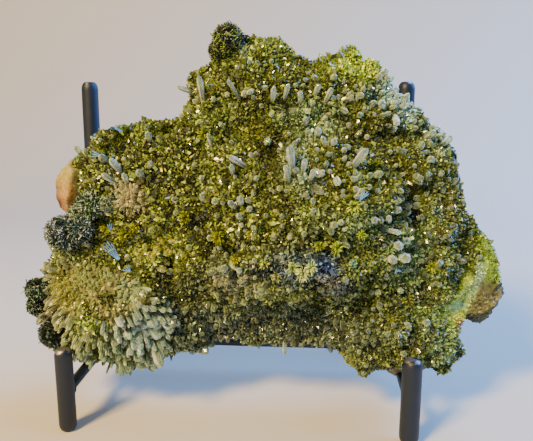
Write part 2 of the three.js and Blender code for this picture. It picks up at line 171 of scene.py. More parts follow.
def skin_normals(points):
    """Outward directions of a grid of rings: the cross product of its steps outward and round."""
    return unit(np.cross(np.gradient(points, axis=0), np.roll(points, -1, 1) - np.roll(points, 1, 1)))


def patch_shares(patches, x, z):
    """What each patch gives a place. A patch is x, z, reach across, reach up, share at its middle."""
    return np.array([share * within(x, z, px, pz, across, up) for px, pz, across, up, share in patches])


# The ledge's two ends, as directions from the centre in radians.
LEDGE_FROM, LEDGE_TO = -0.60, -0.04
# Patches on the ledge's inner side painted lighter: painted light that lifts the shade of its recess.
LEDGE_PAINTED_LIGHT = [(73, 52, 6, 12, 1), (69, 41, 6, 6, 0.7)]
PALE_STRIPE = [(79.4, 56, 2.0, 6.5, 1), (77, 49.5, 2.2, 3.5, 1), (71.5, 45, 4.5, 2.2, 1)]
PINK_SPOT = (73.2, 37.8, 2.2, 2.4)
DARK_CRACK = (77.2, 58, 0.9, 4)


def ledge_share(x, z):
    """1 on the fine-grained ledge along the right edge, 0 elsewhere: between its ends, and outward of a
    share of the reach that grows toward the upper end."""
    angle = np.arctan2(z - CENTRE_Z, x - CENTRE_X)
    sector = np.clip((angle - LEDGE_FROM) * 9, 0, 1) * np.clip((LEDGE_TO - angle) * 9, 0, 1)
    inner = 0.82 + 0.02 * ripple(x, z, 14, 0.3) + 0.10 * np.clip((angle + 0.32) * 5, 0, 1)
    return sector * np.clip((rim_share(x, z) - inner) * 20, 0, 1)


def brown_share(x, z):
    """1 on the bare brown rock that sticks out below and right of the ledge: past a slanting line, and
    between two levels."""
    past = np.clip(x - 78.6 - 0.42 * (z - 50) + 0.5 * ripple(x, z, 5, 0.7), 0, 1)
    return past * np.clip((54 - z + 0.8 * ripple(x, z, 6, 2.2)) / 1.5, 0, 1) * np.clip((z - 38) / 2, 0, 1)


def band_phase(x, z):
    """The phase of the ledge's flow bands: it grows from the centre to the rim, and wavers."""
    return rim_share(x, z) * 60 + 2.2 * ripple(x, z, 15, 1.0)


def linear(hex_colour):
    """An sRGB hex colour as linear red, green and blue."""
    part = np.array([int(hex_colour[i:i + 2], 16) for i in (1, 3, 5)]) / 255
    return np.where(part <= 0.04045, part / 12.92, ((part + 0.055) / 1.055) ** 2.4)


def toward(tint, hex_colour, share):
    """The tint moved toward a colour by a share."""
    return tint + (linear(hex_colour) - tint) * share[..., None]


def ledge_colour(x, z):
    """Bands of yellow-green and olive that follow the rim, with finer lines between them, painted light on
    patches of its inner side, a pale stripe, a pink spot at the low end, a dark crack, and brown with
    near-black specks where the bare rock shows."""
    band = 0.5 + 0.5 * np.sin(band_phase(x, z) + 0.8)[..., None]
    colour = linear("#72922a") * band + linear("#98c058") * (1 - band)
    lines = np.sin(rim_share(x, z) * 260 + 3 * ripple(x, z, 9, 2.0))
    colour = colour * (0.75 + 0.5 * domes(x, z, 2.6, 12) + 0.22 * lines)[..., None]
    # Painted light on the ledge's inner patches.
    colour = colour * (1 + patch_shares(LEDGE_PAINTED_LIGHT, x, z).sum(0)[..., None] * (2.2, 1.6, 0.8))
    colour = toward(colour, "#b4e0b0", 0.85 * np.clip(patch_shares(PALE_STRIPE, x, z).sum(0), 0, 1))
    colour = toward(colour, "#b98a72", within(x, z, *PINK_SPOT))
    colour = toward(colour, "#2c3a38", 0.85 * within(x, z, *DARK_CRACK))
    speck = np.clip(1.9 - 1.6 * domes(x, z, 1.5, 17) - domes(x, z, 0.9, 18), 0, 1)[..., None]
    brown = linear("#5f6545") * (1 - speck) + linear("#201f18") * speck
    return colour + (brown - colour) * brown_share(x, z)[..., None]


FACE_RINGS, EDGE_RINGS, BACK_RINGS, AROUND = 110, 26, 26, 420
way = np.concatenate([
    np.linspace(0.01, 1, FACE_RINGS, endpoint=False),
    np.linspace(1, 2, EDGE_RINGS, endpoint=False),
    np.linspace(2, 2.99, BACK_RINGS),
])[:, None]
turn = np.linspace(0, 2 * math.pi, AROUND, endpoint=False)[None, :]
way, turn = np.broadcast_arrays(way, turn)
skin = rock_form(turn, way)
sx, sy, sz = skin[..., 0], skin[..., 1], skin[..., 2]
FAN_X, FAN_Z = -60.5, 44.0
in_fan = within(sx, sz, FAN_X, FAN_Z, 24, 20, 4)
ledge = ledge_share(sx, sz) * np.clip((1.3 - way) * 8, 0, 1)
grown = np.clip((1.5 - way) * 3, 0, 1) * (1 - 0.85 * in_fan) * (1 - 0.8 * ledge)
lumps = 4.4 * (domes(sx, sz, 10, 3) - 0.74) + 2.3 * (domes(sx, sz, 4.8, 4) - 0.74)
# Hollow scars as on broken rock, cut off where they would stand out, and even where the back's rings close.
scar_x, scar_z = sx + 0.7 * sy, sz + 0.6 * sy
broken = 1.9 * (0.62 - domes(scar_x, scar_z, 19, 15)) + 0.9 * (0.66 - domes(scar_x + 5, scar_z, 8, 5))
broken = broken + 0.5 * (domes(scar_x, scar_z, 3.4, 16) - 0.7) + 0.3 * ripple(scar_x, scar_z, 13, 0.8)
closing = np.clip((3 - way) * 6, 0, 1)
broken = np.minimum(broken, 1.7) * closing + 0.3 * (1 - closing)
flow = 1.3 * (domes(sx, sz, 3.4, 9) - 0.7) + 0.4 * np.sin(band_phase(sx, sz))
relief = lumps * grown + flow * ledge + broken * (1 - grown) * (1 - ledge) - 0.9
skin = skin + skin_normals(skin) * relief[..., None]
skin_out = skin_normals(skin)


def plug(tree, made, sockets):
    """Gives each named socket of a node its value, or links it to another node's output."""
    for name, value in sockets.items():
        if isinstance(value, bpy.types.NodeSocket):
            tree.links.new(value, made.inputs[name])
        else:
            made.inputs[name].default_value = value


def node(tree, kind, sockets, output=0, **settings):
    """Adds a node with its settings and sockets, and gives one of its outputs."""
    made = tree.nodes.new(kind)
    for name, value in settings.items():
        setattr(made, name, value)
    plug(tree, made, sockets)
    return made.outputs[output]


def new_material(name, sockets):
    """An empty material, its node tree and its Principled shader, whose sockets get the given values."""
    material = bpy.data.materials.new(name)
    material.use_nodes = True
    tree = material.node_tree
    shader = tree.nodes["Principled BSDF"]
    plug(tree, shader, sockets)
    return material, tree, shader


def clouded_tint(tree, shader, per_metre, detail, noise_range, shade_range):
    """Base colour: the piece's own tint times a soft noise, whose range is spread over a range of shades.
    Gives the place on the piece and the noise."""
    place = node(tree, "ShaderNodeTexCoord", {}, "Object")
    tint = node(tree, "ShaderNodeAttribute", {}, "Color", attribute_name="tint")
    noise = node(tree, "ShaderNodeTexNoise", {"Vector": place, "Scale": per_metre, "Detail": detail})
    shade = node(tree, "ShaderNodeMapRange", {"Value": noise, "From Min": noise_range[0],
                 "From Max": noise_range[1], "To Min": shade_range[0], "To Max": shade_range[1]})
    mixed = node(tree, "ShaderNodeVectorMath", {0: tint, "Scale": shade}, operation="SCALE")
    plug(tree, shader, {"Base Color": mixed})
    return place, noise


def in_scene(name, data):
    """Puts a new object that holds the data in the scene."""
    made = bpy.data.objects.new(name, data)
    bpy.context.collection.objects.link(made)
    return made


def add_piece(name, points, faces, material, tint, smooth=False):
    """A mesh piece from points in millimetres and faces of one or more corner counts. It rides on the
    easel's body, and tint is one linear colour per point, or one per corner of each face."""
    mesh = bpy.data.meshes.new(name)
    mesh.vertices.add(len(points))
    mesh.vertices.foreach_set("co", ((points + (SHIFT_X, 0, 0)) * MM).astype(np.float32).ravel())
    corners = np.concatenate([f.ravel() for f in faces])
    counts = np.concatenate([np.full(len(f), f.shape[1]) for f in faces])
    mesh.loops.add(len(corners))
    mesh.loops.foreach_set("vertex_index", corners.astype(np.int32))
    mesh.polygons.add(len(counts))
    mesh.polygons.foreach_set("loop_start", (np.cumsum(counts) - counts).astype(np.int32))
    holder = "POINT" if len(tint) == len(points) else "CORNER"
    layer = mesh.attributes.new("tint", "FLOAT_COLOR", holder)
    rgba = np.concatenate([tint, np.ones((len(tint), 1))], 1)
    layer.data.foreach_set("color", rgba.astype(np.float32).ravel())
    mesh.update(calc_edges=True)
    if smooth:
        mesh.shade_smooth()
    else:
        mesh.shade_flat()
    mesh.materials.append(material)
    piece = in_scene(name, mesh)
    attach(piece, "root")
    return piece


def with_poles(rings):
    """The points of a stack of rings, followed by the middles of the first and the last ring."""
    return np.concatenate([rings.reshape(-1, 3), [rings[0].mean(0), rings[-1].mean(0)]])


def ring_faces(rings, around):
    """Faces of a stack of rings that two poles close, numbered as with_poles has them: quads between the
    rings, and a fan of triangles at each pole."""
    a = np.arange(rings * around).reshape(rings, around)
    b = np.roll(a, -1, 1)
    pole = np.full(around, rings * around)
    quads = np.stack([a[:-1], a[1:], b[1:], b[:-1]], -1).reshape(-1, 4)
    return [quads, np.stack([pole, a[0], b[0]], -1), np.stack([pole + 1, b[-1], a[-1]], -1)]


def blended(base, zones, x, z):
    """A colour for each place: the base, moved toward each zone's colour by how near its middle it is.
    A zone is x, z, reach across, reach up, hex colour, strength."""
    tint = np.broadcast_to(linear(base), np.shape(x) + (3,))
    for zx, zz, across, up, hex_colour, strength in zones:
        tint = toward(tint, hex_colour, strength * within(x, z, zx, zz, across, up))
    return tint


# Weathered greenish rock, matt, with fine grain: buff where broken, and on the ledge a felt of epidote in
# pale green and olive bands. Between the crystals its face is painted near black, as painted shade in the
# gaps, and the near-black patch at (1, 62.5) is painted shade in a hollow.
face_tint_and_painted_light = blended("#211f08", [
    (FAN_X, FAN_Z + 4, 20, 16, "#7c7a48", 0.9), (-45.5, 85, 8, 8, "#94824c", 0.9),
    (-10, 60, 10, 8, "#4a4228", 0.8), (-38, 67.5, 9, 7, "#a09a30", 0.9), (-73, 88, 7, 10, "#b8925c", 1),
    (62, 78, 18, 32, "#5c560e", 0.9), (25, 96, 20, 18, "#4e4c0c", 0.9), (34, 130, 12, 9, "#4a4a14", 0.9),
    (1, 62.5, 10, 4.5, "#17170a", 0.9), (2, 36, 46, 9, "#363619", 0.8),
], sx, sz)
face_tint_and_painted_light = face_tint_and_painted_light + (0.8 * ledge_colour(sx, sz) - face_tint_and_painted_light) * ledge[..., None]
broken_tint = blended("#8d8467", [
    (-75, 86, 12, 16, "#c89f7c", 1), (82, 46, 10, 12, "#8a7f5f", 0.9), (20, 60, 60, 40, "#7b7c68", 0.7),
    (-20, 100, 30, 26, "#a48f74", 0.6),
], sx, sz)
bare = np.clip((way - 1.15) * 4, 0, 1)[..., None]
rock_tint_and_painted_light = face_tint_and_painted_light * (1 - bare) + broken_tint * bare
rock_tint_and_painted_light = np.concatenate([rock_tint_and_painted_light.reshape(-1, 3), rock_tint_and_painted_light[0, :1], rock_tint_and_painted_light[-1, :1]])
rock_stone, tree, shader = new_material("weathered_rock", {"Roughness": 0.82})
# Mottled in patches of a millimetre, and pitted by grains of two thirds of that.
place, _ = clouded_tint(tree, shader, 900.0, 6.0, (0.25, 0.75), (0.45, 1.5))
grain = node(tree, "ShaderNodeTexNoise", {"Vector": place, "Scale": 1500.0, "Detail": 5.0})
bump = node(tree, "ShaderNodeBump", {"Height": grain, "Strength": 0.7, "Distance": 0.6 * MM})
plug(tree, shader, {"Normal": bump})
rock = add_piece("rock", with_poles(skin), ring_faces(len(skin), AROUND), rock_stone, rock_tint_and_painted_light, smooth=True)
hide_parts("epidote_cluster")

# Bare lumps of the same rock that stick out at the back of the edge: a pink one at the left, a brown one
# at the right, and the feet that stand on the rails. Broken faces, so flat patches with worn edges.
# Each has its middle, its reach, the colour of its outside, and the colour of its streaks or flecks.
LUMPS = {
    "pink_rock_chip": ((-71.8, -16.5, 85.6), (9.6, 9.5, 12), "#ac8c50", "#602c20"),
    "brown_rock_lump": ((81.2, -15.5, 45.4), (9, 8, 8.6), "#616442", "#201f18"),
    "rock_behind_right_upright": ((53, -16.5, 94), (9, 9, 12), "#8d8467", "#75705a"),
    "left_rock_foot": ((-71, -16.5, 25.5), (8, 8.5, 11.5), "#7d775c", "#5d5b40"),
    "right_rock_foot": ((53, -16.5, 25), (11, 8.5, 11), "#7d775c", "#5d5b40"),
}
# Broken sides, as directions and distances. The chip's are its left, upper left, lower and front left.
CHIP_SIDES = [((-1, -0.15, 0.02), 0.84), ((-0.62, -0.2, 0.78), 0.88), ((-0.2, 0, -1), 0.74),
              ((-0.75, -0.7, 0.1), 0.9)]
OTHER_SIDES = [((-1.0, -0.1, 0.05), 0.82), ((-0.55, 0, 0.83), 0.84)]


def flat_faced_ball(rings, around, sides, facets, seed):
    """A unit ball cut by the given flats and by random ones: the radius is the least distance to any flat,
    softened."""
    rng = np.random.default_rng(seed)
    flats = np.concatenate([[side for side, _ in sides], rng.normal(size=(facets, 3))])
    away = np.concatenate([[off for _, off in sides], rng.uniform(0.78, 0.98, facets)])
    tilt = np.linspace(0.02, math.pi - 0.02, rings)[:, None]
    spin = np.linspace(0, 2 * math.pi, around, endpoint=False)[None, :]
    ray = xyz(np.sin(tilt) * np.cos(spin), -np.sin(tilt) * np.sin(spin), np.cos(tilt))
    nearness = np.maximum(ray @ unit(flats).T, 1e-3) / away
    return ray / (np.sum(nearness**50, -1, keepdims=True) ** (1 / 50))


for k, (name, (middle, reach, outer_hex, inner_hex)) in enumerate(LUMPS.items()):
    is_chip, is_brown = name == "pink_rock_chip", name == "brown_rock_lump"
    rings, around = (120, 180) if is_brown else (70, 100)
    sides, facets = (CHIP_SIDES, 15) if is_chip else (OTHER_SIDES, 26)
    ball = flat_faced_ball(rings, around, sides, facets, 40 + k)
    bx, by, bz = np.moveaxis(ball, -1, 0)
    pits = ripple(bx * 7 + by * 5, bz * 8, 4.1, k) + 0.6 * ripple(bx * 9 - by * 6, bz * 7, 1.7, k + 3)
    ball = ball * (1 + (0.075 if is_brown else 0.03) * pits[..., None])
    if is_brown:
        bx, by, bz = np.moveaxis(ball, -1, 0)
        grit = 0.11 * (domes(bx * 5 + by * 4, bz * 5, 0.55, 6) - 0.7)
        fine_grit = 0.05 * (domes(bx * 5 - by * 4, bz * 5, 0.26, 19) - 0.7)
        ball = ball * (1 + grit + fine_grit)[..., None]
    points = np.array(middle) + ball * reach
    if is_brown:
        points[..., 2] += 0.45 * (points[..., 0] - middle[0])
    points = with_poles(points)
    px, py, pz = points.T
    if is_chip:
        streak = (middle[0] - px) / 6 + (middle[2] - pz) / 20 - 0.45
        streak = 0.9 * np.clip(streak + 0.3 * ripple(px, pz, 5, 1.3), 0, 1)
    elif is_brown:
        low_left = np.clip(0.3 - 0.08 * (px - middle[0]) + 0.06 * (middle[2] - pz), 0, 1)
        fleck = domes(px * 1.2, pz * 1.2, 1.3, 7) + domes(py, pz, 1.1, 8)
        streak = np.clip(0.4 * low_left + np.clip((1.5 - fleck) * 2, 0, 0.9), 0, 1)
    else:
        streak = 0.5 + 0.5 * ripple(px * 2, pz * 2, 9, k)
    tint = toward(linear(outer_hex), inner_hex, streak)
    if is_chip:
        tint = toward(tint, "#a6a052", np.clip((pz - middle[2] - 1) / 7, 0, 0.85))
    if is_brown:
        tint = tint * np.random.default_rng(5).lognormal(0, 0.6, (len(tint), 1))
    lump = add_piece(name, points, ring_faces(rings, around), rock_stone, tint, smooth=True)
    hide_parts("epidote_cluster")

# Epidote: olive to yellow-green crystals of about a millimetre that cover the face and the front of the
# edge. Each is a flattened prism cut off on a slant, glassy and brittle, and grew straight from the rock.
# How many places are drawn, the cell that each kept one has to itself, and how far round the edge they go.
EPIDOTE_DRAWS, EPIDOTE_SPACING, EPIDOTE_ENDS = 680000, 0.65, 1.42
PRISM_SIDES = [(0, 1, 5, 4), (1, 2, 6, 5), (2, 3, 7, 6), (3, 0, 4, 7), (3, 2, 1, 0)]
slant_shape = (
    np.array([(-0.5, -0.36, 0), (0.5, -0.5, 0), (0.5, 0.36, 0), (-0.5, 0.5, 0),
              (-0.42, -0.30, 0.62), (0.42, -0.40, 0.86), (0.40, 0.30, 1.0), (-0.40, 0.40, 0.76)]),
    [np.array(PRISM_SIDES + [(4, 5, 6, 7)])],
)
wedge_shape = (
    np.array([(-0.5, -0.5, 0), (0.5, -0.4, 0), (0.5, 0.5, 0), (-0.5, 0.4, 0),
              (-0.3, 0.05, 1), (0.36, -0.05, 0.84)]),
    [np.array([(0, 1, 5, 4), (2, 3, 4, 5), (3, 2, 1, 0)]), np.array([(1, 2, 5), (3, 0, 4)])],
)
blade_shape = (
    np.array([(-0.5, 0.06, 0), (0, -0.5, 0), (0.5, -0.06, 0), (0, 0.5, 0),
              (-0.5, 0.06, 0.66), (0, -0.5, 0.78), (0.5, -0.06, 0.6), (0, 0.5, 0.72),
              (-0.2, 0.02, 1.0), (0.26, -0.02, 0.86)]),
    [np.array(PRISM_SIDES),
     np.array([(4, 5, 8), (7, 4, 8), (5, 6, 9), (6, 7, 9), (5, 9, 8), (7, 8, 9)])],
)


def scatter(rng, draws, spacing, reach_way):
    """Places on the rock's skin, drawn evenly by area up to reach_way, then thinned to one for each cell
    of a cubic lattice: an even cover with no rows. Gives the places, their directions and their way."""
    side_a = skin[1:] - skin[:-1]
    side_b = np.roll(skin, -1, 1)[:-1] - skin[:-1]
    area = np.linalg.norm(np.cross(side_a, side_b), axis=-1)
    area = np.where(way[:-1] < reach_way, area, 0)
    total = np.cumsum(area.ravel())
    picked = np.searchsorted(total, rng.random(draws) * total[-1])
    i, j = picked // AROUND, picked % AROUND
    s, t = rng.random((2, draws, 1))
    k = (j + 1) % AROUND

    def between(grid):
        return ((1 - s) * (1 - t) * grid[i, j] + s * (1 - t) * grid[i + 1, j]
                + (1 - s) * t * grid[i, k] + s * t * grid[i + 1, k])

    spots = between(skin)
    _, first = np.unique(np.floor(spots / spacing).astype(int), axis=0, return_index=True)
    first = np.sort(first)
    return spots[first], unit(between(skin_out)[first]), way[i[first], j[first]]


# Painted shade at a crystal's foot, how much painted light rises toward its tip, and the lightest that any
# tint may be.
FOOT_PAINTED_SHADE, TIP_PAINTED_LIGHT, LIGHTEST = 0.38, 0.76, 0.95


def crystals(name, shape, foot, axis, spin, size, tint, material, painted_light_tone=None, facet_painted_light=0.0):
    """Many copies of a crystal in one piece: each corner is the foot, plus its width, thickness and length
    along the crystal's own three directions. Each corner is painted lighter or darker: if not given, painted
    shade at the foot, where the neighbours would shade it, rising to painted light at the tip. Each face is
    also painted lighter or darker at random by a lognormal spread, as painted light and shade of the facets."""
    corners, faces = shape
    helper = np.where(np.abs(axis[:, 2:]) < 0.9, [[0.0, 0.0, 1.0]], [[1.0, 0.0, 0.0]])
    u = unit(np.cross(helper, axis))
    v = np.cross(axis, u)
    cos, sin = np.cos(spin)[:, None], np.sin(spin)[:, None]
    u, v = cos * u + sin * v, cos * v - sin * u
    local = corners[None] * size[:, None, :]
    points = foot[:, None] + local[..., :1] * u[:, None] + local[..., 1:2] * v[:, None]
    points = points + local[..., 2:] * axis[:, None]
    first = np.arange(len(foot)) * len(corners)
    copies = [(first[:, None, None] + f[None]).reshape(-1, f.shape[1]) for f in faces]
    # Painted shade at the foot, rising to painted light at the tip.
    painted_light_tone = FOOT_PAINTED_SHADE + TIP_PAINTED_LIGHT * corners[:, 2] if painted_light_tone is None else painted_light_tone
    facet_painted_light = np.reshape(facet_painted_light, (-1, 1, 1, 1))
    shades = []
    for f in faces:
        shade = tint[:, None, None] * painted_light_tone[f][None, :, :, None]
        # Each face painted lighter or darker at random: painted light and shade of the facets.
        shade = shade * rng.lognormal(-0.5 * facet_painted_light**2, facet_painted_light, (len(foot), len(f), 1, 1))
        shades.append(np.clip(shade, 0, LIGHTEST).reshape(-1, 3))
    piece = add_piece(name, points.reshape(-1, 3), copies, material, np.concatenate(shades))
    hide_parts("epidote_cluster")
    return piece


rng = np.random.default_rng(11)
spots, out, spot_way = scatter(rng, EPIDOTE_DRAWS, EPIDOTE_SPACING, EPIDOTE_ENDS)
px, pz = spots[:, 0], spots[:, 2]
# The green patches that lie in the fan.
FAN_GREEN = [(-60.5, 42.5, 6, 6.5, 1), (-54, 50.5, 3, 4, 1), (-66.5, 38, 4, 4, 0.9), (-62.5, 50, 3, 2.5, 0.7),
             (-72, 55, 4, 2, 0.5), (-61, 21.5, 5, 3, 0.9), (-50, 27, 3, 3, 0.6), (-34, 55, 5, 8, 1)]
# None on the fan, whose rim wanders a little, apart from the green patches in it.
fan_near = np.minimum(oval(px, pz, FAN_X + 1, FAN_Z - 4, 26, 18), oval(px, pz, FAN_X, 52, 19, 9))
free = fan_near > 1 + 0.10 * rng.normal(size=len(px))
free |= rng.random(len(px)) < patch_shares(FAN_GREEN, px, pz).max(0)
# Fewer at the ledge's foot and past the front of the edge, and nearly none on the spray, the chip and the
# brown rock.
for bare_share in (0.55 * ledge_share(px, pz) * within(px, pz, 72, 46, 4, 9),
                   np.clip((spot_way - 1.22) * 5, 0, 1),
                   0.9 * within(px, pz, -45.5, 86.5, 6.5, 7),
                   0.93 * within(px, pz, -73, 87, 5, 9),
                   0.97 * brown_share(px, pz)):
    free &= rng.random(len(px)) > bare_share
spots, out, px, pz = spots[free], out[free], px[free], pz[free]
count = len(spots)

EPIDOTE_TINTS = ["#343108", "#545010", "#7b7612", "#9a961e", "#c2bc38", "#7a5c18"]
EPIDOTE_SHARES = [0.17, 0.26, 0.28, 0.17, 0.06, 0.06]
# Patches where the crystals are coarser and more broken up in tone, and where they are more even.
COARSE = [(-40, 86, 28, 22, 1), (5, 75, 26, 10, 0.6), (-60, 40, 7, 8, 1)]
EVEN = [(34, 131, 12, 8, 1), (2, 36, 46, 9, 0.9), (-38, 67.5, 9, 6, 0.8), (64, 80, 16, 32, 1),
        (25, 95, 20, 25, 0.3)]
coarse = np.clip(patch_shares(COARSE, px, pz).sum(0), 0, 1)[:, None]
even = np.clip(patch_shares(EVEN, px, pz).sum(0), 0, 1)[:, None]
tints = np.array([linear(c) for c in EPIDOTE_TINTS])
mean_tint = EPIDOTE_SHARES @ tints
contrast = 0.4 + 0.5 * coarse - 0.2 * even
epidote_tint = mean_tint * (tints[rng.choice(len(tints), count, p=EPIDOTE_SHARES)] / mean_tint) ** contrast
OLIVE = "#8a8222"
# Zones of colour. The near-black ones at the notch right of the mass (53, 79), in the crevice by the fan
# (-34.5, 55) and in the hollow at (1, 62.8) are painted shade.
zone_tint_and_painted_shade = blended(OLIVE, [
    (27, 130, 9, 7, "#aaa62a", 1), (34, 133, 7, 6, "#ffff34", 1), (1, 134, 9, 6, "#a8a22c", 0.8),
    (-51.2, 108.5, 5, 5, "#5f670c", 0.85), (-37.7, 110.5, 5, 4, "#6a6c10", 0.7),
    (-56.5, 100.5, 6, 5, "#6c6e24", 0.6), (-60, 40, 7, 8, "#b8b834", 0.9),
    (-55.2, 48.3, 3.6, 4.8, "#2c2e18", 0.9), (-62, 37.8, 5, 5, "#d0d040", 0.8),
    (18, 113, 9, 6, "#c2cc6a", 0.9), (-14, 114, 9, 5, "#a5a336", 0.7), (-18, 106, 9, 5, "#a09c38", 0.6),
    (13, 97, 6, 6, "#c2c66c", 0.7), (4, 103, 6, 8, "#6a621e", 0.7), (40, 102, 6, 11, "#62601f", 0.7),
    (30, 121.5, 8, 4, "#6c6820", 0.6), (44, 122, 7, 4, "#d0e088", 0.9), (62, 108, 6, 7, "#a8b868", 0.8),
    (50, 117.5, 4, 7, "#e4f09c", 0.9), (62, 104, 14, 18, "#868632", 0.5), (68, 82, 10, 20, "#8b842c", 0.7),
    (55, 73, 7, 9, "#9ca84e", 0.6), (68, 30, 9, 9, "#a5ac4c", 0.8), (51, 51, 8, 6, "#5a5a2a", 0.7),
    (27, 57, 7, 5, "#4c4c34", 0.8), (60, 44, 10, 8, "#8c9840", 0.5), (53, 62, 12, 12, "#98a64e", 0.6),
    (18.5, 81.4, 8, 6, "#7c8036", 0.6), (1, 62.8, 9, 4.5, "#46442a", 0.8), (2, 36, 46, 10, "#7c7e56", 0.7),
    (-75, 80, 9, 9, "#5d6a4a", 0.8), (-14, 141, 8, 8, "#4c5c3c", 0.8), (14, 65, 11, 7, "#76806c", 0.8),
    (22.5, 65.5, 4, 4, "#5c6c80", 0.8), (14, 73, 8, 3, "#5e5c20", 0.6), (-12, 59, 9, 9, "#8c8450", 0.6),
    (-24, 52, 6, 9, "#5c5830", 0.7), (-38, 67.5, 10, 7, "#ccc03c", 0.9), (-34.5, 55, 2.6, 6, "#36341a", 0.65),
    (53, 79, 3, 4, "#22220e", 0.9), (35, 79, 8, 7, "#98a650", 0.6), (-36.6, 93, 4, 3, "#1e1e0a", 0.9),
    (-70, 62, 9, 8, "#84873a", 0.6), (-36, 40, 6, 8, "#66745a", 0.7),
], px, pz)
epidote_tint = epidote_tint * (zone_tint_and_painted_shade / linear(OLIVE))
# Painted shade: darker in the creases than on the crowns, and patchy.
crown = 0.55 * domes(px, pz, 10, 3) + 0.45 * domes(px, pz, 4.8, 4)
painted_light_tone = 0.58 + 0.64 * np.clip((crown - 0.5) / 0.4, 0, 1)
wave = 0.3 * ripple(px, pz, 14, 0.4) + 0.12 * ripple(px, pz, 6, 1.9) + 0.2 * ripple(px, pz, 27, 2.6)
painted_light_tone = painted_light_tone * np.exp(wave)
painted_light_tone = painted_light_tone + (1.0 - painted_light_tone) * 0.7 * even[:, 0]
spread = rng.lognormal(0.1, 1, (count, 1)) ** (0.15 + 0.15 * coarse)
# A balance makes up for the booth's warm light: a tint's red, green and blue are multiplied by it.
EPIDOTE_BALANCE = (0.80, 1.16, 3.15)
# The painted shade of the creases goes into each crystal's colour.
epidote_tint = epidote_tint * painted_light_tone[:, None] * spread * EPIDOTE_BALANCE
fine = ledge_share(px, pz)
epidote_tint += (ledge_colour(px, pz) * rng.lognormal(0.1, 0.3, (count, 1)) - epidote_tint) * fine[:, None]
axis = unit(out + rng.normal(size=(count, 3)) * (0.42 + 0.3 * coarse))
width = rng.lognormal(-0.36, 0.28, count) * (1 - 0.3 * fine) * (1 + 0.15 * coarse[:, 0])
width = width * np.where(rng.random(count) < 0.015 + 0.05 * coarse[:, 0], 1.6, 1)
sunk = 0.6
size = xyz(width, width * rng.uniform(0.5, 0.85, count), width * rng.uniform(0.9, 1.7, count) + sunk)
foot = spots - axis * sunk

# Opaque olive glass, with clouds of a millimetre in which it is lighter or darker, and duller or glossier.
epidote, tree, shader = new_material("epidote_crystal", {"IOR": 1.74})
_, cloud = clouded_tint(tree, shader, 900.0, 2.0, (0.3, 0.7), (0.55, 1.45))
gloss = node(tree, "ShaderNodeMapRange", {"Value": cloud, "From Min": 0.3, "From Max": 0.7,
                                          "To Min": 0.04, "To Max": 0.24})
plug(tree, shader, {"Roughness": gloss})
quarter = np.searchsorted(np.quantile(px, [0.25, 0.5, 0.75]), px)
is_slant = rng.random(count) < 0.5
# Each crystal's faces are painted lighter or darker at random, as painted light and shade of facets, more so
# in the coarse patches.
for k, side in enumerate(("far_left", "left", "right", "far_right")):
    for kind, shape, wanted in (("prisms", slant_shape, is_slant), ("wedges", wedge_shape, ~is_slant)):
        mine = (quarter == k) & wanted
        spin = rng.uniform(0, 2 * math.pi, mine.sum())
        crystals(f"epidote_{kind}_{side}", shape, foot[mine], axis[mine], spin, size[mine],
                 epidote_tint[mine], epidote, facet_painted_light=0.55 + 0.3 * coarse[mine, 0])

# Quartz points between the epidote: short six-sided prisms with a six-faced tip, glass clear with a grey
# or green cast, about two millimetres across.
POINT_SIDES = 12
corner = np.arange(POINT_SIDES)
on_edge = corner % 2 == 0


def six_sided(radius, height, uneven):
    """One ring of a six-sided prism: its six edges, and the middles of its sides between them."""
    reach = radius * np.where(on_edge, 1, math.cos(math.pi / 6))
    ring = corner * math.pi / 6
    return xyz(reach * np.cos(ring), reach * np.sin(ring), height + uneven * np.sin(2.3 * ring))


hex_corners = np.concatenate([six_sided(0.44, 0, 0), six_sided(0.5, 0.68, 0.04), six_sided(0.31, 0.88, 0.02),
                              [(0.03, -0.02, 1.0)]])
after = np.roll(corner, -1)
wall = np.stack([corner, after, after + POINT_SIDES, corner + POINT_SIDES], 1)
hex_faces = [
    np.concatenate([wall, wall + POINT_SIDES]),
    xyz(corner + 2 * POINT_SIDES, after + 2 * POINT_SIDES, 3 * POINT_SIDES),
    corner[None, ::-1],
]
quartz_shape = (hex_corners, hex_faces)
# A longer point, narrow at its foot and blunt at its end, like a finger.
finger_corners = hex_corners.copy()
for ring, wider, higher in ((0, 0.8, 0), (1, 1, 0.12), (2, 1.15, 0.05)):
    finger_corners[ring * POINT_SIDES:(ring + 1) * POINT_SIDES] *= (wider, wider, 1)
    finger_corners[ring * POINT_SIDES:(ring + 1) * POINT_SIDES] += (0, 0, higher)
finger_shape = (finger_corners, hex_faces)


def painted_edge_highlights(foot, shoulder, upper, tip, dull):
    """How light each corner of a quartz point is painted: painted highlights on its edges, lighter than the
    middles of its sides, where light would gather, and painted shade at the foot that rises toward the tip."""
    side = np.where(on_edge, 1, dull)
    return np.concatenate([foot * side, shoulder * side, upper * side, [tip]])


# Quartz points: painted highlights on the edges and painted shade at the foot.
quartz_painted_light_tone = painted_edge_highlights(0.45, 1.35, 1.2, 1.2, 0.85)


def quartz_material(name, clearness, roughness):
    """Quartz: clear where a face is seen square on and milky where it is seen along, as light that is
    thrown about inside leaves at the edges, with the refraction of real quartz."""
    material, tree, shader = new_material(name, {"Roughness": roughness, "IOR": 1.544})
    clouded_tint(tree, shader, 500.0, 3.0, (0.3, 0.7), (0.8, 1.15))
    facing = node(tree, "ShaderNodeLayerWeight", {"Blend": 0.4}, "Facing")
    clear = node(tree, "ShaderNodeMapRange", {"Value": facing, "From Min": 0.12, "From Max": 0.6,
                                              "To Min": clearness, "To Max": 0.15})
    plug(tree, shader, {"Transmission Weight": clear})
    return material


clear_quartz = quartz_material("clear_quartz", 0.8, 0.08)
milky_quartz = quartz_material("milky_quartz", 0.7, 0.24)

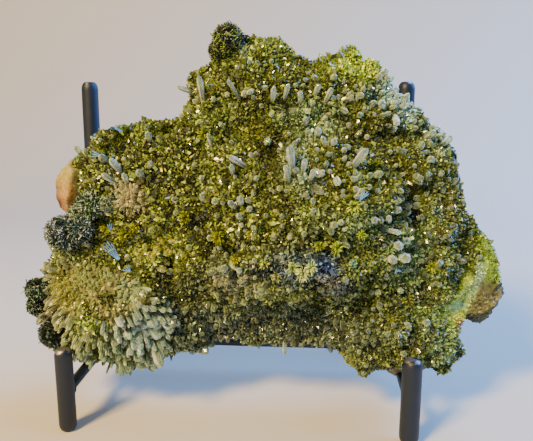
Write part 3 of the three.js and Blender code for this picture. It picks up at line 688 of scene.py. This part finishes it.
# Share of the places that a short quartz point takes, in patches and outside them.
QUARTZ_PATCHES = [
    (10, 119, 32, 5, 0.35), (20, 108, 14, 9, 0.4), (22, 92, 14, 10, 0.45), (57, 92, 15, 34, 0.27),
    (54, 60, 12, 12, 0.3), (-5, 86, 10, 12, 0.16), (2, 38, 46, 9, 0.75), (-10, 57, 9, 9, 0.8),
    (-38, 67.5, 9, 6, 0.7), (47, 119, 8, 5, 1), (60, 110, 7, 6, 0.9), (48, 67, 6, 7, 0.25),
    (43, 124, 5, 5, 1), (-68, 99, 7, 6, 0.2), (-25, 33, 14, 8, 0.7), (4, 74, 24, 8, 0.12),
    (-66, 64, 10, 5, 0.4), (40, 30, 14, 10, 0.12),
]
SPARSE_SHARE = 0.035
POINT_DRAWS, POINT_SPACING, POINTS_END = 60000, 2.3, 1.4
spots, out, _ = scatter(rng, POINT_DRAWS, POINT_SPACING, POINTS_END)
px, pz = spots[:, 0], spots[:, 2]
share = SPARSE_SHARE + patch_shares(QUARTZ_PATCHES, px, pz).max(0)
share *= oval(px, pz, FAN_X, FAN_Z, 27, 21) > 1
share *= 1 - ledge_share(px, pz)
taken = rng.random(len(spots)) < share
spots, out, px, pz = spots[taken], out[taken], px[taken], pz[taken]
count = len(spots)
# Along the lower edge they are slimmer and longer, hang down, and are hazy.
low = within(px, pz, 2, 36, 46, 11)[:, None]
axis = unit(out + rng.normal(scale=0.25, size=(count, 3)) + (0, 0, 0.15) - low * (0, 0, 0.5))
width = rng.lognormal(0.6, 0.2, count) * (1 - 0.2 * low[:, 0])
sunk = 1.3
size = xyz(width, width, width * (rng.uniform(1.0, 1.7, count) + 0.2 * low[:, 0]) + sunk)
foot = spots - axis * sunk
quartz_tint = blended("#bccb92", [
    (60, 72, 22, 40, "#8e9674", 0.85), (20, 103, 18, 14, "#d0e2aa", 0.9), (2, 36, 46, 12, "#6e7456", 0.95),
    (-10, 57, 10, 9, "#a8a272", 0.8), (-38, 67.5, 10, 8, "#cac744", 1), (62, 109, 12, 9, "#cfeaa8", 0.9),
    (-26, 33, 14, 9, "#94a286", 0.8), (43, 124, 8, 6, "#e2f2b4", 0.9), (-66, 64, 10, 5, "#b0b480", 0.8),
    (47, 119, 9, 5, "#d4ecac", 0.9),
], px, pz)
QUARTZ_BALANCE = (1, 1.12, 1.2)
quartz_tint = quartz_tint * rng.lognormal(0, 0.2, (count, 1)) * QUARTZ_BALANCE
hazy = low[:, 0] > 0.4
# The hazy low points get weaker painted edge highlights and less painted shade at the foot.
for name, mine, painted_light_tone in (("quartz_points", ~hazy, quartz_painted_light_tone),
                         ("low_quartz_points", hazy, painted_edge_highlights(0.75, 1.15, 1.0, 1.0, 0.85))):
    crystals(name, quartz_shape, foot[mine], axis[mine], rng.uniform(0, math.pi, mine.sum()), size[mine],
             quartz_tint[mine], clear_quartz, painted_light_tone, facet_painted_light=0.35)

# The quartz points that stand out by themselves: x, z, radius, length, lean across and up, as the solid
# has them, and how white they are.
SINGLE_QUARTZ = np.array([
    (-20, 119.5, 1.1, 8, -0.1, 2.2, 0.7), (-8, 121, 0.8, 6, -0.9, 1.7, 0.5), (4, 120, 1, 4.5, 0.2, 1.2, 0.7),
    (8, 121, 1, 4.5, 0.4, 1.2, 0.8), (13, 119, 1, 4.5, 0.1, 1, 0.7), (18, 121, 1, 4.5, 0.4, 1.2, 0.8),
    (22, 120, 0.9, 4.5, 0.5, 1.2, 0.8), (-5, 98, 1.1, 6, -1.5, 1.2, 1), (11, 98, 1.3, 8, -0.2, 2, 0.9),
    (10, 94, 1.1, 6, -0.3, 1.7, 0.8), (31, 98.5, 1.5, 7, 0.9, 1.6, 0.8), (-17, 104, 0.9, 5, -0.3, 1.6, 0.6),
    (14.5, 97, 1, 5, 0.2, 1.4, 0.8), (-9, 96, 1.1, 4, 0, 0.8, 0.5), (19, 108, 1.3, 3.5, 0.1, 0.7, 0.9),
    (15, 112, 1.1, 3, 0, 0.6, 0.9), (24, 105, 1.1, 3.5, 0.2, 0.8, 0.8), (17, 95, 1, 4, 0.3, 1, 0.8),
    (42, 77, 1, 5, 2.4, -0.3, 1), (46.2, 70.6, 1.7, 3.4, 0.3, 0.3, 0.9), (44.6, 66.8, 1.6, 3, 0.2, -0.1, 0.8),
    (48.2, 67, 1.8, 3.6, 0.6, -0.1, 1), (49, 71.4, 1.3, 3, 0.5, 0.5, 0.7),
    (43.5, 79.5, 1.1, 4, -0.2, 0.7, 0.8), (41, 117, 1.4, 4.5, -0.3, 0.5, 0.8),
    (45, 114, 1.3, 4.5, 0.1, -0.6, 0.8), (57, 107, 1.3, 3, 0.8, 0.8, 0.8), (63, 104.5, 1.2, 3, 1.2, 1.4, 0.6),
    (57, 99, 1.2, 3, 0.2, 0.5, 0.5), (-25, 122, 1, 5, -1.8, 0.8, 0.6), (-6, 86, 1.3, 3.5, 0, 0.8, 0.6),
    (-8.6, 85, 1.2, 3, -0.3, 0.7, 0.5), (-6, 81, 1.1, 3.5, -0.2, 0.6, 0.5),
    (-3.4, 83.5, 1.1, 3, 0.3, 0.6, 0.5), (8, 30, 0.9, 4.4, 0.1, -1.8, 0.6), (-12, 63, 1.5, 4, 0.1, 0.3, 0.3),
    (58, 42, 1.4, 3, 0.2, 0.3, 0.6), (-7, 61.5, 1.1, 4, 0.2, 0.8, 0.4), (-40, 30, 1.9, 7, 0.9, -1.2, 0.6),
    (-54.9, 98.8, 1.5, 3, -0.2, 0.5, 0.3), (-49, 96.2, 1.3, 4.5, -0.4, 1.2, 0.7),
    (-41.5, 94, 1.4, 3, 0, 0.6, 0.4), (-51.5, 92, 1.1, 4, -0.8, 1, 0.7), (-46.5, 92, 1.1, 3.6, 0, 1, 0.7),
    (-38.5, 97, 1.1, 4, 0.5, 0.6, 0.3), (38.2, 80.4, 1.2, 3, -0.2, 0.5, 0.6),
    (46, 82.5, 1.3, 3, 0.2, 0.5, 0.6), (-39, 106, 1.2, 3.4, 0, 0.9, 0.4),
])
px, pz, radius, length, lean_across, lean_up, white = SINGLE_QUARTZ.T
count = len(SINGLE_QUARTZ)
sunk, forward = 3, -1.3
axis = unit(xyz(lean_across, forward, lean_up))
foot = xyz(px, face_y(px, pz), pz) - axis * sunk
size = xyz(2 * radius, 2 * radius, length + sunk + 1.1 * radius)
single_tint = linear("#9aa47e") * (1 - white[:, None]) + linear("#d4f2d4") * white[:, None]
# Painted edge highlights and foot shade, as on the other points.
crystals("single_quartz_points", finger_shape, foot, axis, rng.uniform(0, 3, count), size, single_tint,
         clear_quartz, quartz_painted_light_tone, facet_painted_light=0.25)

# Milky quartz that spreads from a foot like a half-open flower: the large fan at the lower left, whose
# heart is a close tan crust of points seen end on, and a small spray on the left shoulder.
rng = np.random.default_rng(21)
HEART_DRAWS, HEART_SPACING, HEART_END = 420000, 1.08, 1.2
FINGER_DRAWS, FINGER_SPACING, FINGERS_END = 90000, 2.4, 1.3
HEART_BALANCE, FINGER_BALANCE = (1, 1.2, 1.4), (1.06, 1.25, 1.35)
# How far the quartz keeps above a green patch, so that its tips don't hide it.
GREEN_MARGIN = 2.5


def laid_on_face(x, z, sunk):
    """Places on the rock's face, sunk below it, from x and z."""
    return xyz(x, face_y(x, z) + sunk, z)


def spread_fan(name, heart, opens_from, finger_area, finger_width, heart_zones, finger_base, finger_zones):
    """A half-open flower of quartz: short points in an oval heart, x, z, reach across and up, and long
    fingers in an oval area round it that lean away from a place above, more the further out they stand."""
    spots, _, _ = scatter(rng, HEART_DRAWS, HEART_SPACING, HEART_END)
    x, z = spots[:, 0], spots[:, 2]
    u, v = (x - heart[0]) / heart[2], (z - heart[1]) / heart[3]
    keep = np.hypot(u, v) < 1 + 0.12 * rng.normal(size=len(x))
    for lower in (0, GREEN_MARGIN):
        keep &= rng.random(len(x)) > 0.95 * patch_shares(FAN_GREEN, x, z - lower).max(0)
    spots, x, z, u, v = spots[keep], x[keep], z[keep], u[keep], v[keep]
    n = len(x)
    axis = unit(xyz(1.2 * u, -1, 1.2 * v) + rng.normal(scale=0.32, size=(n, 3)))
    width = rng.uniform(0.7, 1.6, n)
    size = xyz(width, width, rng.uniform(1.8, 3.3, n))
    patchy = np.exp(0.22 * ripple(x, z, 7, 1.1) + 0.15 * ripple(x, z, 3.5, 0.2))[:, None]
    tint = blended("#cdc568", heart_zones, x, z) * patchy * rng.lognormal(-0.1, 0.2, (n, 1)) * HEART_BALANCE
    # Painted edge highlights and foot shade on the heart's points.
    crystals(name + "_heart", quartz_shape, spots - axis * 1.1, axis, rng.uniform(0, 3, n), size,
             tint, milky_quartz, painted_edge_highlights(0.7, 1.25, 1.0, 1.0, 0.8))

    spots, _, _ = scatter(rng, FINGER_DRAWS, FINGER_SPACING, FINGERS_END)
    x, z = spots[:, 0], spots[:, 2]
    reach = oval(x, z, *finger_area)
    keep = (reach < 1) & (oval(x, z, *heart) > 0.9)
    keep &= (z < heart[1] + 0.55 * heart[3]) | (x < heart[0] - 0.5 * heart[2])
    for green, lower in ((0.97, 0), (0.9, GREEN_MARGIN)):
        keep &= rng.random(len(x)) > green * patch_shares(FAN_GREEN, x, z - lower).max(0)
    spots, x, z, reach = spots[keep], x[keep], z[keep], reach[keep][:, None]
    n = len(x)
    # Those above the heart's middle open from there instead.
    from_z = np.where(z > heart[1] + 3, heart[1] - 1, opens_from[1])
    away = unit(xyz(x - opens_from[0], 0, z - from_z) + rng.normal(scale=0.34, size=(n, 3)))
    axis = unit(away + (0, -1, 0) * (1.1 - 0.8 * reach) + rng.normal(scale=0.24, size=(n, 3)))
    width = finger_width * rng.lognormal(-0.05, 0.26, n) * (1 + 0.25 * within(x, z, -42, 38, 10, 14))
    size = xyz(width, width * 0.8, finger_width * rng.uniform(1.9, 4.1, n))
    tint = blended(finger_base, finger_zones, x, z) * rng.lognormal(-0.05, 0.22, (n, 1))
    # Painted edge highlights and foot shade on the fingers too.
    crystals(name, finger_shape, spots - axis * 2.0, axis, rng.uniform(0, 3, n), size,
             tint * FINGER_BALANCE, milky_quartz, painted_edge_highlights(0.5, 1.15, 1.3, 1.0, 0.8), facet_painted_light=0.22)


spread_fan("quartz_fan", (FAN_X, 51.5, 18, 9), (-60, 59), (FAN_X + 1, 41, 26.5, 23.5), 1.9, [
    (-73, 50, 8, 7, "#b0a83a", 0.9), (-45, 55, 8, 7, "#c2cc88", 0.9), (-60, 58, 10, 4, "#b5ba64", 0.8),
    (-52, 45, 6, 5, "#b8aa58", 0.7),
], "#b4ba80", [
    (-42, 38, 12, 13, "#b4c8b4", 0.95), (-73, 60, 12, 5, "#aeb080", 0.9), (-60, 24, 16, 6, "#a4b696", 0.9),
    (-80, 42, 9, 14, "#a89c6c", 0.8),
])
spread_fan("quartz_spray", (-46, 85.5, 5.5, 5.5), (-46, 82), (-46.5, 91.5, 7.5, 6), 1.5, [
    (-46, 85, 9, 9, "#d8c48c", 0.9),
], "#cdc49a", [(-46, 86, 8, 3, "#cabc88", 0.8)])

# Balls of dark green needles on the edge: thin crystals that stand every way in a tangle, black-green
# with pale ones between them, and a mossy patch of the same beside the pink rock.
# Each has its colour, and the middle and radius of every ball in it.
NEEDLE_BALLS = {
    "top_needle_ball": ("#475622", [((-12, -28, 140), 5.4), ((-14.5, -28, 136), 4.4)]),
    "upper_left_needle_ball": ("#5a8a7c", [((-71, -37, 73), 6.4), ((-64.6, -37.5, 74.6), 5.2)]),
    "mossy_needles": ("#8cc670", [((-61, -35, 83), 5.5), ((-64.5, -35, 80), 4.2), ((-54, -36.5, 84), 3)]),
    "left_needle_ball": ("#3c5240", [((-84.8, -31, 49.5), 4.6), ((-85.6, -30, 43), 4.2)]),
    "lower_left_needle_ball": ("#2e4038", [((-79.8, -31, 32.5), 5.6), ((-75.8, -30, 27.5), 4.8)]),
}
NEEDLES_PER_BALL = 900
needle_shape = (
    np.array([(-0.5, -0.3, 0), (0.5, -0.3, 0), (0, 0.6, 0), (-0.3, -0.2, 1), (0.3, -0.2, 1), (0, 0.35, 1)]),
    [np.array([(0, 1, 4, 3), (1, 2, 5, 4), (2, 0, 3, 5)]), np.array([(2, 1, 0), (3, 4, 5)])],
)
# A silky sheen, since the needles are too fine to glint one by one, in clouds of a millimetre or two.
needle_green, tree, shader = new_material("needle_epidote", {"Roughness": 0.36, "IOR": 1.6})
clouded_tint(tree, shader, 700.0, 2.0, (0, 1), (0.6, 1.4))
# How light the dark, middling and pale needles are, and how many there are of each.
NEEDLE_SHADES, NEEDLE_SHARES = [0.04, 0.6, 6.0], [0.48, 0.3, 0.22]
PALEST = (0.58, 0.69, 0.62)
for name, (hex_colour, balls) in NEEDLE_BALLS.items():
    n = NEEDLES_PER_BALL * len(balls)
    middle = np.repeat([ball_middle for ball_middle, _ in balls], NEEDLES_PER_BALL, 0)
    radius = np.repeat([ball_radius for _, ball_radius in balls], NEEDLES_PER_BALL)[:, None]
    away = unit(rng.normal(size=(n, 3)) + (0, -0.3, 0))
    axis = unit(away + rng.normal(scale=0.55, size=(n, 3)))
    length = radius * rng.uniform(0.38, 0.58, (n, 1))
    foot = middle + away * radius * 0.92 - axis * length * 0.75
    width = rng.uniform(0.2, 0.42, (n, 1))
    tint = linear(hex_colour) * rng.choice(NEEDLE_SHADES, (n, 1), p=NEEDLE_SHARES)
    # Each needle is painted darker at its foot and lighter at its tip: painted shade and painted light.
    crystals(name, needle_shape, foot, axis, rng.uniform(0, 3, n), np.concatenate([width, width, length], 1),
             np.clip(tint, 0, PALEST), needle_green)

# Rosettes of epidote: thin blades that open round a middle like petals, six to eight millimetres across.
# Bright ones stand along the shelf and the crest, and dark ones on the left shoulder.
# x, z, reach, colour
ROSETTES = [
    (14.8, 64, 5.5, "#f0ffa0"), (17.5, 66, 4.5, "#e0f490"), (11.5, 65.5, 4.5, "#d4e48c"),
    (9, 68, 4, "#9aa08c"), (-14, 74, 5, "#b0b030"), (26, 72, 5, "#c4d050"), (38, 98, 5, "#8e9a34"),
    (-2, 76, 4, "#b4b238"), (-8, 67, 4, "#b4b034"), (31, 66, 4, "#9cc080"), (2, 66.5, 4, "#d0d05c"),
    (44, 70, 4, "#a0b46c"), (25, 60, 5, "#8f8c7c"), (-48, 73, 5, "#a0a02a"), (-26, 80, 5, "#a0a028"),
    (-20, 108, 5, "#acae34"), (52, 50, 5, "#84863c"), (60, 62, 5, "#a0a638"), (31, 86, 5, "#c8d458"),
    (34, 76, 4, "#bccc54"), (-30, 70, 4, "#a8a428"), (0, 108, 4, "#a09e34"), (21, 62, 4, "#a8a8a0"),
    (6, 62, 4, "#a8a86c"), (-56, 74, 4, "#a8a82c"), (-44, 76, 4, "#b0ae34"), (46, 44, 4, "#8c9040"),
    (20, 72.5, 4, "#acb448"), (-52, 106.8, 5, "#646c12"), (-48.5, 107.6, 4.5, "#5a6210"),
    (-39, 109, 5, "#6a7214"), (-34.5, 110, 4.5, "#5e6610"), (-57, 102.5, 4.5, "#74781c"),
]
ROSETTE_BALANCE = (1, 1.15, 1.3)
ROSETTE_BLADES = 60
n = ROSETTE_BLADES
parts = []
for rx, rz, reach, hex_colour in ROSETTES:
    spin = rng.uniform(0, 2 * math.pi, n)
    open_out = rng.uniform(0.15, 1.4, n)
    axis = unit(xyz(open_out * np.cos(spin), -1, open_out * np.sin(spin)))
    foot = laid_on_face(rx + 0.4 * np.cos(spin), rz + 0.4 * np.sin(spin), 0) - axis * 1.0
    size = xyz(rng.uniform(0.6, 1.1, n), rng.uniform(0.2, 0.4, n), reach * rng.uniform(0.65, 0.95, n))
    parts.append((foot, axis, spin, size, linear(hex_colour) * rng.uniform(0.45, 1.4, (n, 1))))
foot, axis, spin, size, tint = (np.concatenate(part) for part in zip(*parts))
# Painted shade at the blades' feet, rising to painted light at their tips.
crystals("epidote_rosettes", blade_shape, foot, axis, spin, size, tint * ROSETTE_BALANCE, epidote,
         0.35 + 0.9 * blade_shape[0][:, 2])

# Sprays of bladed crystals whose flat, polished sides catch the sky; their pale blue is a painted sky
# reflection in their base colour. Most lie left of the middle: x and z of the foot, the way it points in
# degrees, how far it opens, length, and number of blades.
PAINTED_SKY_SPRAYS = [
    (-49.7, 64.6, 126, 24, 8.8, 5), (-45.4, 61, 134, 50, 2.8, 4), (-53, 74.5, 100, 20, 3, 3),
    (33, 88.5, 60, 40, 3.6, 4), (46.5, 61.5, 40, 60, 2.2, 4), (-57, 100.5, 170, 30, 3, 3),
]
# Glassy polished sides, painted sky blue as a painted reflection, with paler clouds of about two millimetres.
painted_sky_blade, tree, shader = new_material("blade_with_painted_sky", {"Roughness": 0.16, "IOR": 1.74})
place = node(tree, "ShaderNodeTexCoord", {}, "Object")
cloud = node(tree, "ShaderNodeTexNoise", {"Vector": place, "Scale": 600.0, "Detail": 2.0})
painted_sky_blues = {6: (*linear("#1880e4"), 1), 7: (*linear("#a4dcff"), 1)}
painted_sky_reflection = node(tree, "ShaderNodeMix", {"Factor": cloud, **painted_sky_blues}, 2, data_type="RGBA")
plug(tree, shader, {"Base Color": painted_sky_reflection})
parts = []
for bx, bz, points_to, opening, reach, n in PAINTED_SKY_SPRAYS:
    step = np.linspace(-0.5, 0.5, n)
    swing = np.radians(points_to - opening * step)
    axis = unit(xyz(np.cos(swing), -0.12, np.sin(swing)))
    foot = laid_on_face(bx + 0.6 * step, bz + 0.5 * step, -3.4)
    parts.append((foot, axis, xyz(0.55, 0.3, reach * rng.uniform(0.8, 1.05, n))))
foot, axis, size = (np.concatenate(part) for part in zip(*parts))
n = len(foot)
crystals("blades_with_painted_sky", blade_shape, foot, axis, np.full(n, 0.2), size, np.ones((n, 3)), painted_sky_blade)

# The easel: round steel rod, cut to length, ground round at the free ends and welded at the joints, then
# painted black. The paint is worn to bare steel at the tops and chipped along the posts.
black_paint, tree, shader = new_material("black_paint_on_steel", {})
place = node(tree, "ShaderNodeTexCoord", {}, "Object")
# Chips of a few millimetres, and the skin of sprayed paint in bumps of one.
wear = node(tree, "ShaderNodeTexNoise", {"Vector": place, "Scale": 260.0, "Detail": 5.0, "Roughness": 0.65})
worn = node(tree, "ShaderNodeAttribute", {}, "Fac", attribute_name="tint")
total = node(tree, "ShaderNodeMath", {0: wear, 1: worn}, operation="ADD")
bare = node(tree, "ShaderNodeMapRange", {"Value": total, "From Min": 0.98, "From Max": 1.04})
paint_and_steel = {6: (*linear("#0c1a2a"), 1), 7: (*linear("#9c9790"), 1)}
peel = node(tree, "ShaderNodeTexNoise", {"Vector": place, "Scale": 900.0, "Detail": 2.0})
plug(tree, shader, {
    "Base Color": node(tree, "ShaderNodeMix", {"Factor": bare, **paint_and_steel}, 2, data_type="RGBA"),
    "Metallic": bare,
    "Roughness": node(tree, "ShaderNodeMapRange", {"Value": wear, "To Min": 0.38, "To Max": 0.6}),
    "Normal": node(tree, "ShaderNodeBump", {"Height": peel, "Strength": 0.25, "Distance": 0.2 * MM}),
})
END_FLAT, WELD_HIGH, WELD_REACH, WEAR_REACH = 1.5, 0.9, 1, 2.2
ROD_RINGS, ROD_SIDES = 60, 40


def rod(name, start, end, radius, ground=(False, False), welded=(False, False), worn=(0.0, 0.0)):
    """A round rod: the radius along it is full, drawn in to a quarter circle round a small flat at a
    ground end, and flared by a bell curve where a weld runs round it. Worn is how bare each end is: it
    falls off along the rod by a bell curve too."""
    start, end = np.array(start, float), np.array(end, float)
    length = np.linalg.norm(end - start)
    at = (1 - np.cos(np.linspace(0, math.pi, ROD_RINGS))) / 2 * length
    r = np.full(ROD_RINGS, float(radius))
    for from_end, is_ground, is_welded in zip((at, length - at), ground, welded):
        if is_ground:
            inside = np.clip(from_end / (0.9 * radius), 0, 1)
            r = np.minimum(r, END_FLAT + (radius - END_FLAT) * np.sqrt(1 - (1 - inside) ** 2))
        if is_welded:
            r = r + WELD_HIGH * np.exp(-((from_end / WELD_REACH) ** 2))
    axis = (end - start) / length
    helper = np.array([1.0, 0, 0]) if abs(axis[0]) < 0.9 else np.array([0, 0, 1.0])
    u = unit(np.cross(helper, axis))
    v = np.cross(axis, u)
    spin = np.linspace(0, 2 * math.pi, ROD_SIDES, endpoint=False)
    circle = np.cos(spin)[:, None] * u + np.sin(spin)[:, None] * v
    wobble = 1 + 0.006 * np.sin(3 * spin)[None, :] * np.sin(at / 3)[:, None]
    points = start + at[:, None, None] * axis + r[:, None, None] * wobble[..., None] * circle
    points = np.concatenate([points.reshape(-1, 3), [start, end]])
    bareness = 0.12 + worn[0] * np.exp(-(at / WEAR_REACH) ** 2)
    bareness = np.repeat(bareness + worn[1] * np.exp(-(((length - at) / WEAR_REACH) ** 2)), ROD_SIDES)
    bareness = np.concatenate([bareness, bareness[[0, -1]]])
    faces = [f[:, ::-1] for f in ring_faces(ROD_RINGS, ROD_SIDES)]
    tint = np.repeat(bareness[:, None], 3, 1)
    piece = add_piece(name + "_rod", points, faces, black_paint, tint, smooth=True)
    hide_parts(name)


# Where the rods stand, how high they reach and how thick they are, in millimetres, as the CAD easel has it.
LEFT_X, RIGHT_X, POST_Y, REAR_FOOT_Y = -71.0, 53.0, -44.0, 51.0
RAIL_Z, POST_TOP, UPRIGHT_TOP, LEG_TOP, REAR_BAR_Z = 15.0, 32, 126, 64, 17
UPRIGHT_Y, BAR_Y = POST_Y + 40, POST_Y + 51.3
LEG_TOP_Y = UPRIGHT_Y + LEAN * (LEG_TOP - RAIL_Z) + 6.4
BAR_RADIUS, UPRIGHT_RADIUS, LEG_RADIUS = 2.0, 3.2, 2.6
# A welded end goes a little way into the other rod. The front bar passes the rails, and the rear bar stops
# short of the legs' middles. A leg's line starts above the floor, on which its foot's lower edge stands.
SUNK_IN, LEG_SUNK_IN, BAR_PASSES, REAR_BAR_SHORT, LEG_START_Z = 0.4, 0.8, 2, 2.3, 1.1
seat = BAR_RADIUS - SUNK_IN
for side, x, post_radius in (("left", LEFT_X, 3.2), ("right", RIGHT_X, 3.5)):
    rod(side + "_front_post", (x, POST_Y, 0), (x, POST_Y, POST_TOP), post_radius, (True, True),
        worn=(0.1, 0.42))
    rod(side + "_rail", (x, POST_Y + post_radius - SUNK_IN, RAIL_Z), (x, BAR_Y - seat, RAIL_Z), BAR_RADIUS,
        welded=(True, True))
    rod(side + "_upright", (x, UPRIGHT_Y + LEAN * seat, RAIL_Z + seat),
        (x, UPRIGHT_Y + LEAN * (UPRIGHT_TOP - RAIL_Z), UPRIGHT_TOP), UPRIGHT_RADIUS,
        (False, True), (True, False), (0, 0.34))
    rod(side + "_rear_leg", (x, REAR_FOOT_Y, LEG_START_Z), (x, LEG_TOP_Y - LEG_SUNK_IN, LEG_TOP), LEG_RADIUS,
        (True, True), (False, True))
rod("front_crossbar", (LEFT_X - BAR_PASSES, BAR_Y, RAIL_Z), (RIGHT_X + BAR_PASSES, BAR_Y, RAIL_Z), BAR_RADIUS)
rear_y = REAR_FOOT_Y + (LEG_TOP_Y - REAR_FOOT_Y) * REAR_BAR_Z / LEG_TOP
rod("rear_crossbar", (LEFT_X + REAR_BAR_SHORT, rear_y, REAR_BAR_Z),
    (RIGHT_X - REAR_BAR_SHORT, rear_y, REAR_BAR_Z), BAR_RADIUS, welded=(True, True))

# The photo booth: a pale floor that sweeps up into a wall, a warm window in front at the left, a cool one
# behind at the right, and a camera close in front that looks a little down.
across = np.linspace(-1.4, 1.4, 3)[None, :]
bend = np.linspace(0.1, math.pi / 2, 16)
run = np.concatenate([np.linspace(-1.2, 0.35, 12), 0.35 + 0.25 * np.sin(bend), np.full(4, 0.6)])[:, None]
rise = np.concatenate([np.zeros(12), 0.25 - 0.25 * np.cos(bend), np.linspace(0.4, 1.6, 4)])[:, None]
sweep_points = xyz(across, run, rise)
rows = np.arange(len(run) - 1)[:, None] * 3 + np.arange(2)[None, :]
sweep_faces = np.stack([rows, rows + 1, rows + 4, rows + 3], -1).reshape(-1, 4)
mesh = bpy.data.meshes.new("sweep")
mesh.from_pydata(sweep_points.reshape(-1, 3).tolist(), [], sweep_faces.tolist())
mesh.shade_smooth()
paper, _, _ = new_material("backdrop_paper", {"Base Color": (*linear("#d0c9b2"), 1), "Roughness": 0.9})
mesh.materials.append(paper)
sweep = in_scene("sweep", mesh)


def window(name, place, aim, size, hex_colour, power):
    """A soft square light at a place, facing another, in metres."""
    light = bpy.data.lights.new(name, "AREA")
    light.size = size
    light.color = linear(hex_colour)
    light.energy = power
    lamp = in_scene(name, light)
    lamp.location = place
    x, y, z = np.array(aim) - place
    lamp.rotation_euler = (math.atan2(math.hypot(x, y), -z), 0, math.atan2(-x, y))


window("warm_window", (-0.42, -0.63, 0.66), (0, 0, 0.08), 0.2, "#ffd690", 22)
window("cool_window", (0.52, 0.22, 0.50), (0.06, -0.02, 0), 0.8, "#60a0ff", 20)
world = bpy.data.worlds.new("room")
world.use_nodes = True
background = world.node_tree.nodes["Background"]
background.inputs["Color"].default_value = (*linear("#9ab4e0"), 1)
background.inputs["Strength"].default_value = 0.46
bpy.context.scene.world = world

# The camera's place, tilt and focal length are those that put the easel's rods where the photo has them.
FOCAL_PIXELS, PHOTO_WIDTH = 620, 533
camera = bpy.data.cameras.new("camera")
camera.sensor_width = 36
camera.lens = 36 * FOCAL_PIXELS / PHOTO_WIDTH
camera.clip_start = 0.01
viewer = in_scene("camera", camera)
viewer.location = (0.01823, -0.24694, 0.12211)
viewer.rotation_euler = (math.radians(90 - 11.7), 0, math.radians(4.13))
bpy.context.scene.camera = viewer
